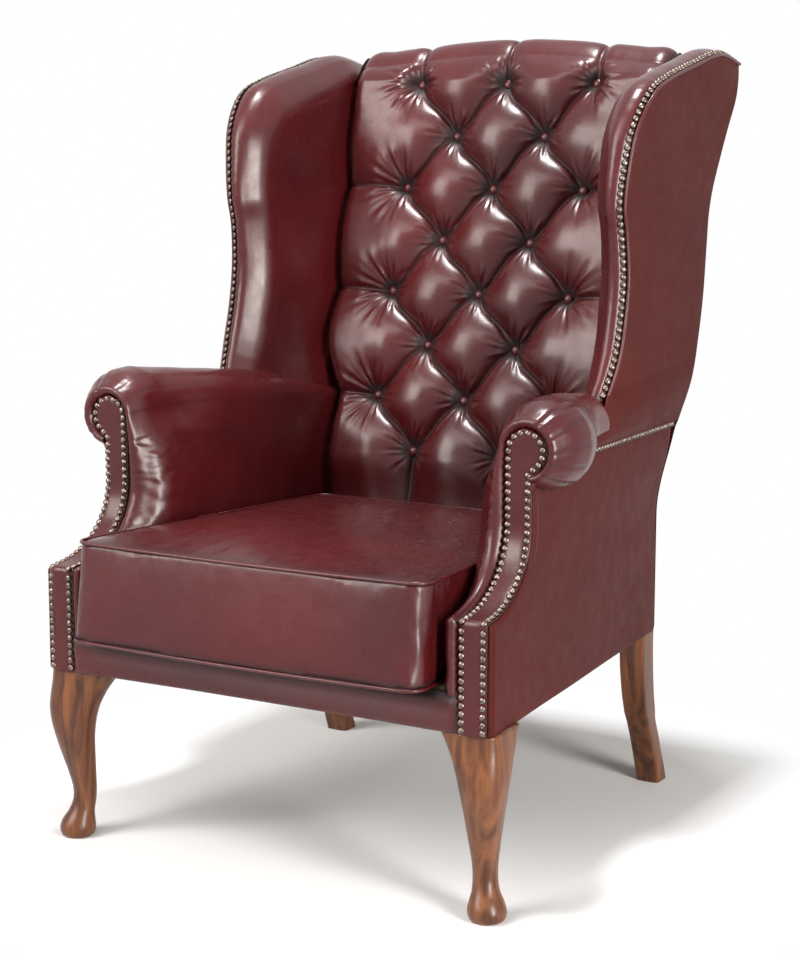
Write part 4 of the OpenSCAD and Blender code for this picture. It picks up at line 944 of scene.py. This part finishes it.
# Distances between nails, and the radii and heights of nails and buttons
NAIL_PITCH, SEAM_PITCH = 10.5, 9.6
NAIL, SEAM_NAIL, BUTTON = (4.7, 3.4), (4.2, 3.0), (8.8, 6.5)
SIDES = ((-1, "left"), (1, "right"))
for side, word in SIDES:
    # Each panel: its name, shape, columns, rows and node
    for name, shape, columns, rows, node in (
            ("arm_cover", arm_shape(side), 150, 110, "inside_arm"),
            ("wing_cover", wing_shape(side), 90, 150, "inside_wing")):
        piece = surface(f"{name}_{word}", shape, columns, rows, side=side,
                        nodes=[f"{node}_{word}"], smooth=1)
    for name, shape, columns, rows, node, material, solid in (
            ("arm_side", outside_arm_shape(side), 90, 60, "outside_arm", outer, 2),
            ("wing_side", outside_wing_shape(side), 60, 90, "outside_wing", outer, 2),
            ("facing", facing_shape, 16, 150, "arm_facing", oxblood, 0)):
        piece = surface(f"{name}_{word}", shape, columns, rows, side=side,
                        nodes=[f"{node}_{word}"], material=material, smooth=1, solid=solid)
    domes(f"facing_nail_heads_{word}", place_nails(facing_line(), NAIL_PITCH, 3.0, side), *NAIL,
          [f"facing_nails_{word}"])
    line = [(tuple(wing_edge(k / 90)),
             tuple((wing_out(k / 90) + Vector((0.9, 0, 0))).normalized())) for k in range(1, 90)]
    domes(f"wing_nail_heads_{word}", place_nails(line, NAIL_PITCH, 1.4, side), *NAIL,
          [f"wing_nails_{word}"])
    line = [((seam_x(y) + 1.5, y, SEAM_Z + 0.5), (1, 0, 0.25)) for y in (248, 330, 420, 520, 615)]
    domes(f"seam_nail_heads_{word}", place_nails(line, SEAM_PITCH, 1.4, side), *SEAM_NAIL,
          [f"arm_nails_{word}"])
    ridge = [wing_edge(k / 70) + Vector((7.2, 0, 0)) - wing_out(k / 70) * 2.2 for k in range(71)]
    tube(f"wing_welt_{word}", [(p.x * side, p.y, p.z) for p in ridge], 2.3)

back = surface("tufted_back", back_shape, 262, 372, nodes=["inside_back"])
buttons = []
tilt = (0, -math.cos(LEAN), math.sin(LEAN))
for bx, bh in BUTTONS:
    y, z = back_at(bh, -8.0)
    buttons.append(((bx, y, z), tilt))
domes("button_heads", buttons, *BUTTON, ["back_buttons"], oxblood, "leather", rounds=24)
rear = surface("rear_panel", outside_back_shape, 70, 90, nodes=["outside_back"], material=outer,
               smooth=1, side=-1)
border = surface("front_border_pad", border_shape, 150, 40, nodes=["front_border"], smooth=1)


# Seat cushion

PITCH = math.radians(1.6)
CUSHION_Y, CUSHION_Z = -50.0, 305.9
CUSHION_BACK = 518.0
# The height of its border, the crown over it and the radius of its welts
CUSHION_H, CROWN, WELT = 133.0, 23, 4.5
# Half widths at the front and rear, the bow and backward lean of the front, and the corners' radii
CUSHION_HALF, BOW, FRONT_LEAN, CORNERS = (272.0, 222.5), 8, 14, (26, 20)
# The cloth simulation: its frames, its pressure and the most that it may swell a panel
CLOTH_FRAMES, PRESSURE, MOST_SWELL = 20, 4, 9


def cushion_mm(x, y, z):
    """From the cushion's own level frame, whose y starts at its nose, into the chair."""
    return (x, CUSHION_Y + y * math.cos(PITCH) + z * math.sin(PITCH),
            CUSHION_Z - y * math.sin(PITCH) + z * math.cos(PITCH))


def cushion_outline(rise, inset=0.0):
    """Points round the plan at a share of the border's height."""
    depth = CUSHION_BACK - CUSHION_Y
    front_w, rear_w = (w - inset for w in CUSHION_HALF)
    nose, end = BOW + FRONT_LEAN * rise + inset - 12, depth - inset
    r, q = (radius - inset / 2 for radius in CORNERS)
    corners = [(front_w - r, nose + r, r, -90), (rear_w - q, end - q, q, 0),
               (q - rear_w, end - q, q, 90), (r - front_w, nose + r, r, 180)]
    points = []
    for k, (cx, cy, radius, start) in enumerate(corners):
        for m in range(13):
            a = math.radians(start + m * 7.5)
            points.append((cx + radius * math.cos(a), cy + radius * math.sin(a)))
        nx, ny, nr, ns = corners[(k + 1) % 4]
        e = (nx + nr * math.cos(math.radians(ns)), ny + nr * math.sin(math.radians(ns)))
        b = points[-1]
        for m in range(1, 24):
            t = m / 24
            lift = BOW * (1 - (2 * t - 1) ** 2) if k == 3 else 0
            points.append((mix(b[0], e[0], t), mix(b[1], e[1], t) - lift))
    return points


CUSHION_LEVELS = (
    [(0.0, s, WELT - 3 * (1 - s)) for s in (0.15, 0.45, 0.75, 0.95, 0.995)]
    + [(k / 12, 1.0, WELT + CUSHION_H * k / 12) for k in range(13)]
    + [(1.0, s, WELT + CUSHION_H + CROWN * (1 - s ** 2.8))
       for s in (0.985, 0.95, 0.88, 0.78, 0.62, 0.42, 0.2)])


def cushion_point(u, v):
    """u round the cushion's outline, v from the middle of its base up its border to its crown."""
    rise, share, z = CUSHION_LEVELS[round(v * (len(CUSHION_LEVELS) - 1))]
    ring = cushion_outline(rise, 1.0)
    middle = Vector((0, (CUSHION_BACK - CUSHION_Y) / 2 + 6))
    q = middle.lerp(Vector(ring[round(u * len(ring)) % len(ring)]), share)
    return cushion_mm(q.x, q.y, z)


def closed_body(shape, around, levels, side=1):
    """A closed body from shape(u, v): a sheet rolled into a tube, joined and capped."""
    bm = bmesh.new()
    bmesh.ops.create_grid(bm, x_segments=around, y_segments=levels, size=1)
    for v in bm.verts:
        x, y, z = shape((v.co.x + 1) / 2, (v.co.y + 1) / 2)
        v.co = mm(x * side, y, z)
    bmesh.ops.remove_doubles(bm, verts=bm.verts, dist=1e-5)
    bmesh.ops.holes_fill(bm, edges=bm.edges)
    bmesh.ops.recalc_face_normals(bm, faces=bm.faces)
    return bm


def seam_points(level):
    rise = 0.0 if level == 0 else 1.0
    z = WELT if level == 0 else WELT + CUSHION_H
    return [cushion_mm(x, y, z) for x, y in cushion_outline(rise, 0.8)]


def inflate(piece):
    """Swells the panels by a cloth simulation that holds both seams."""
    rest = [v.co.copy() for v in piece.data.vertices]
    group = piece.vertex_groups.new(name="seams")
    up = Vector((0, math.sin(PITCH), math.cos(PITCH)))
    nose = mm(*cushion_mm(0, 0, 0))
    for k, v in enumerate(rest):
        z = (v - nose).dot(up) / MM
        away = min(abs(z - WELT), abs(z - WELT - CUSHION_H))
        inside = z < WELT - 1.0
        group.add([k], 1.0 if away < 3 or inside else clamp(1 - (away - 3) / 8) * 0.6, "REPLACE")
    cloth = piece.modifiers.new("cloth", "CLOTH")
    cloth.settings.use_pressure = True
    cloth.settings.uniform_pressure_force = PRESSURE
    cloth.settings.vertex_group_mass = "seams"
    cloth.settings.quality = 5
    cloth.settings.effector_weights.gravity = 0
    cloth.point_cache.frame_start, cloth.point_cache.frame_end = 1, CLOTH_FRAMES
    scene = bpy.context.scene
    for number in range(1, CLOTH_FRAMES + 1):
        scene.frame_set(number)
    done = piece.evaluated_get(bpy.context.evaluated_depsgraph_get())
    moved = [v.co.copy() for v in done.data.vertices]
    piece.modifiers.remove(cloth)
    scene.frame_set(1)
    for v, a, b in zip(piece.data.vertices, rest, moved):
        step = b - a
        if step.length > MOST_SWELL * MM:
            step *= MOST_SWELL * MM / step.length
        v.co = a + step


def dress_cushion(piece):
    """Puckers beside the welts and soft wrinkles, worked into the swollen panels."""
    up = Vector((0, math.sin(PITCH), math.cos(PITCH)))
    nose = mm(*cushion_mm(0, 0, 0))
    painted_shade = piece.data.attributes.new("crease", "FLOAT", "POINT")
    for k, v in enumerate(piece.data.vertices):
        z = (v.co - nose).dot(up) / MM
        p = v.co / MM
        near_top, near_low = abs(z - WELT - CUSHION_H), abs(z - WELT)
        turn = math.atan2(p.y + 100, p.x)
        right = ease((p.x - 150) / 110) * ease((-300 - p.y) / 80)
        pucker = math.sin(turn * 150 + 6 * math.sin(turn * 23))
        pucker *= bell((min(near_top, near_low) - 7) / 6)
        fine = ripple(p.x * 1.6, p.y * 1.6, p.z * 0.5, 20) * right * 1.6
        swell = ripple(p.x * 0.6, p.y * 0.6, p.z, 80) * 1.5
        v.co += v.normal * (pucker * 0.35 + fine + swell) * MM
        # Painted shade beside the welts, darkest just above the base welt
        painted_shade.data[k].value = clamp(0.4 * bell(near_top / 5) + 0.95 * bell(near_low / 7))


bm = closed_body(cushion_point, len(cushion_outline(0)), len(CUSHION_LEVELS) - 1)
cushion = finish_piece("seat_cushion", bm, oxblood, "cushion",
                       ["cushion_top", "cushion_border", "cushion_base", "cushion_core"])
remesh = cushion.modifiers.new("remesh", "REMESH")
remesh.mode = "VOXEL"
remesh.voxel_size = 0.006
bpy.context.view_layer.objects.active = cushion
with bpy.context.temp_override(object=cushion, active_object=cushion, selected_objects=[cushion]):
    bpy.ops.object.modifier_apply(modifier="remesh")
    inflate(cushion)
dress_cushion(cushion)
for face in cushion.data.polygons:
    face.use_smooth = True
cushion_soft = cushion.modifiers.new("smooth", "SUBSURF")
cushion_soft.levels = cushion_soft.render_levels = 1
tube("cushion_welt_top", seam_points(1), 2.4, "cushion", ["cushion_piping_top"], closed=True)
tube("cushion_welt_base", seam_points(0), 2.4, "cushion", ["cushion_piping_base"], closed=True)


# Legs

# The cabriole leg by height: its middle's way outwards and forwards, its radius and squareness
FRONT_LEG = [(0, 0.256, -0.151, 17.5, 0), (0.02, 0.256, -0.151, 24.0, 0),
             (0.056, 0.256, -0.151, 25.5, 0), (0.1, 0.24, -0.135, 22.8, 0),
             (0.145, 0.21, -0.1, 18.6, 0), (0.2, 0.18, -0.06, 16.6, 0),
             (0.27, 0.17, -0.05, 16.8, 0), (0.36, 0.18, -0.085, 19.0, 0.05),
             (0.47, 0.2, -0.14, 22.6, 0.1),
             (0.58, 0.22, -0.19, 26.2, 0.15), (0.68, 0.225, -0.215, 29.6, 0.25),
             (0.77, 0.21, -0.2, 32.8, 0.35), (0.85, 0.165, -0.14, 35.7, 0.5),
             (0.92, 0.105, -0.065, 38.6, 0.7), (1, 0.04, 0, 42, 0.9)]
# The raked leg by height: its way back, its half width and how much its corners are taken off
REAR_LEG = [(0, 1, 0.46, 0.2), (0.05, 0.93, 0.46, 0.2), (0.18, 0.74, 0.45, 0.2),
            (0.3, 0.56, 0.45, 0.2), (0.42, 0.36, 0.45, 0.19), (0.48, 0.27, 0.46, 0.08),
            (0.6, 0.15, 0.47, 0.05), (0.75, 0.06, 0.485, 0.05), (0.88, 0.02, 0.49, 0.05),
            (1, 0, 0.5, 0.05)]
KNEE_W, REAR_LEG_W, REAR_RAKE, LEG_TOP = 86, 41, 69, 249.7


def table_row(table, t):
    """A table's row at t, which is the first number of each row."""
    for k, (a, b) in enumerate(zip(table, table[1:])):
        if t <= b[0]:
            return spline(table, k, (t - a[0]) / (b[0] - a[0]))
    return table[-1]


def front_leg_point(u, t):
    _, across, deep, r, square = table_row(FRONT_LEG, t)
    if t < 0.02:
        r = 24.0 - (1 - t / 0.02) ** 2 * 5.0
    power = mix(1, 0.35, square)
    c, s = math.cos(2 * math.pi * u), math.sin(2 * math.pi * u)
    return (307 + KNEE_W * across + r * math.copysign(abs(c) ** power, c),
            43 + KNEE_W * deep + r * math.copysign(abs(s) ** power, s), LEG_TOP * t)


def rear_leg_point(u, t):
    """A square leg, with its corners taken off further down."""
    _, rake, half, cut = table_row(REAR_LEG, t)
    c, s = math.cos(2 * math.pi * (u + 1 / 128)), math.sin(2 * math.pi * (u + 1 / 128))
    power = 0.1 + 1.3 * cut
    half *= REAR_LEG_W
    return (281.3 + half * math.copysign(abs(c) ** power, c),
            605.9 + REAR_RAKE * rake + half * math.copysign(abs(s) ** power, s), LEG_TOP * t)


for side, word in SIDES:
    for name, shape, node in ((f"cabriole_leg_{word}", front_leg_point, f"front_leg_{word}"),
                              (f"raked_leg_{word}", rear_leg_point, f"rear_leg_{word}")):
        bm = closed_body(shape, 64, 80, side)
        finish_piece(name, bm, walnut, "chair", [node])


# Camera, floor and light

# The floor's own shade ends between these distances from the middle, in metres
FLOOR_FADE = (0.48, 0.74)
PHOTO_W, PHOTO_H = 800, 953
# The camera solved from the photograph: focal length and principal point in its pixels
FOCAL, CENTRE_X, CENTRE_Y = 2084.33, 402.925, 468.303
SENSOR = 36
YAW, DIP = math.radians(29.7214), math.radians(9.4076)

def area(name, place, target, size, power, colour):
    data = bpy.data.lights.new(name, "AREA")
    data.shape = "RECTANGLE"
    data.size, data.size_y = size
    data.energy = power
    data.color = linear(colour)[:3]
    lamp = bpy.data.objects.new(name, data)
    lamp.location = place
    lamp.rotation_euler = (Vector(target) - Vector(place)).to_track_quat("-Z", "Y").to_euler()
    bpy.context.scene.collection.objects.link(lamp)


camera_data = bpy.data.cameras.new("camera")
camera_data.sensor_fit = "VERTICAL"
camera_data.sensor_height = SENSOR
camera_data.lens = FOCAL / PHOTO_H * SENSOR
camera_data.shift_x = (PHOTO_W / 2 - CENTRE_X) / PHOTO_H
camera_data.shift_y = (CENTRE_Y - PHOTO_H / 2) / PHOTO_H
camera = bpy.data.objects.new("camera", camera_data)
view = Vector((-math.sin(YAW) * math.cos(DIP), math.cos(YAW) * math.cos(DIP), -math.sin(DIP)))
camera.location = (1.49031, -2.60537, 1.00361)
camera.rotation_euler = view.to_track_quat("-Z", "Y").to_euler()
bpy.context.scene.collection.objects.link(camera)
bpy.context.scene.camera = camera

bm = bmesh.new()
bmesh.ops.create_grid(bm, x_segments=1, y_segments=1, size=30)
mesh = bpy.data.meshes.new("floor")
bm.to_mesh(mesh)
bm.free()
floor = bpy.data.objects.new("floor", mesh)
bpy.context.scene.collection.objects.link(floor)


def background_rays(nodes):
    """1 for the rays that show the white background: seen, mirrored or through glass."""
    path = nodes.add("ShaderNodeLightPath")
    rays = path["Is Camera Ray"]
    for kind in ("Is Glossy Ray", "Is Transmission Ray"):
        rays = nodes.add(MATH, [rays, path[kind]], operation="MAXIMUM")[0]
    return rays


pale = Shader("pale_floor", Roughness=0.9, Specular_IOR_Level=0.1)
pale.bsdf.inputs["Base Color"].default_value = linear("#F4F6FA")
# Away from the chair the floor turns into the white background
far = pale.add("ShaderNodeVectorMath", [pale.place], operation="LENGTH")["Value"]
far = pale.add(RANGE, [far, *FLOOR_FADE, 0, 1])["Result"]
away = pale.add(MATH, [far, background_rays(pale)], operation="MULTIPLY")[0]
white = pale.add("ShaderNodeEmission", {"Strength": 1.0})[0]
mixed = pale.add("ShaderNodeMixShader", [away, pale.bsdf.outputs[0], white])[0]
pale.tree.links.new(mixed, pale.tree.nodes["Material Output"].inputs["Surface"])
mesh.materials.append(pale.material)

area("key", (-2.0, -3.1, 2.5), (0, 0, 0.7), (2.1, 2.1), 145, "#FFFAF4")
area("fill", (3.1, -1.5, 1.15), (0, 0, 0.6), (0.9, 2.0), 150, "#FFFAF4")
area("over", (-0.4, -1.8, 2.9), (0, 0.1, 0.5), (2.0, 1.0), 30, "#FFFAF4")
area("top", (0.05, 0.1, 4.5), (0, 0.1, 0.6), (0.4, 0.4), 150, "#FFFFFF")

# A studio: pale overhead and warm grey below, and white where the background shows
world = bpy.data.worlds.new("studio")
world.use_nodes = True
studio = Nodes(world.node_tree)
place = studio.add("ShaderNodeTexCoord")["Generated"]
up = studio.add("ShaderNodeSeparateXYZ", [place])["Z"]
up = studio.add(RANGE, [up, -0.4, 0.6, 0, 1])["Result"]
sky = studio.add(MIX, {FACTOR: up, FIRST: linear("#6E5F55"), SECOND: linear("#E6DFD0")},
                 data_type="RGBA")[COLOUR]
lit = studio.add("ShaderNodeBackground", {"Color": sky, "Strength": 0.3})[0]
clear = studio.add("ShaderNodeBackground", {"Color": (1, 1, 1, 1), "Strength": 1.0})[0]
either = studio.add("ShaderNodeMixShader", [background_rays(studio), lit, clear])[0]
studio.tree.links.new(either, studio.tree.nodes["World Output"].inputs["Surface"])
bpy.context.scene.world = world
bpy.context.scene.view_settings.view_transform = "Standard"
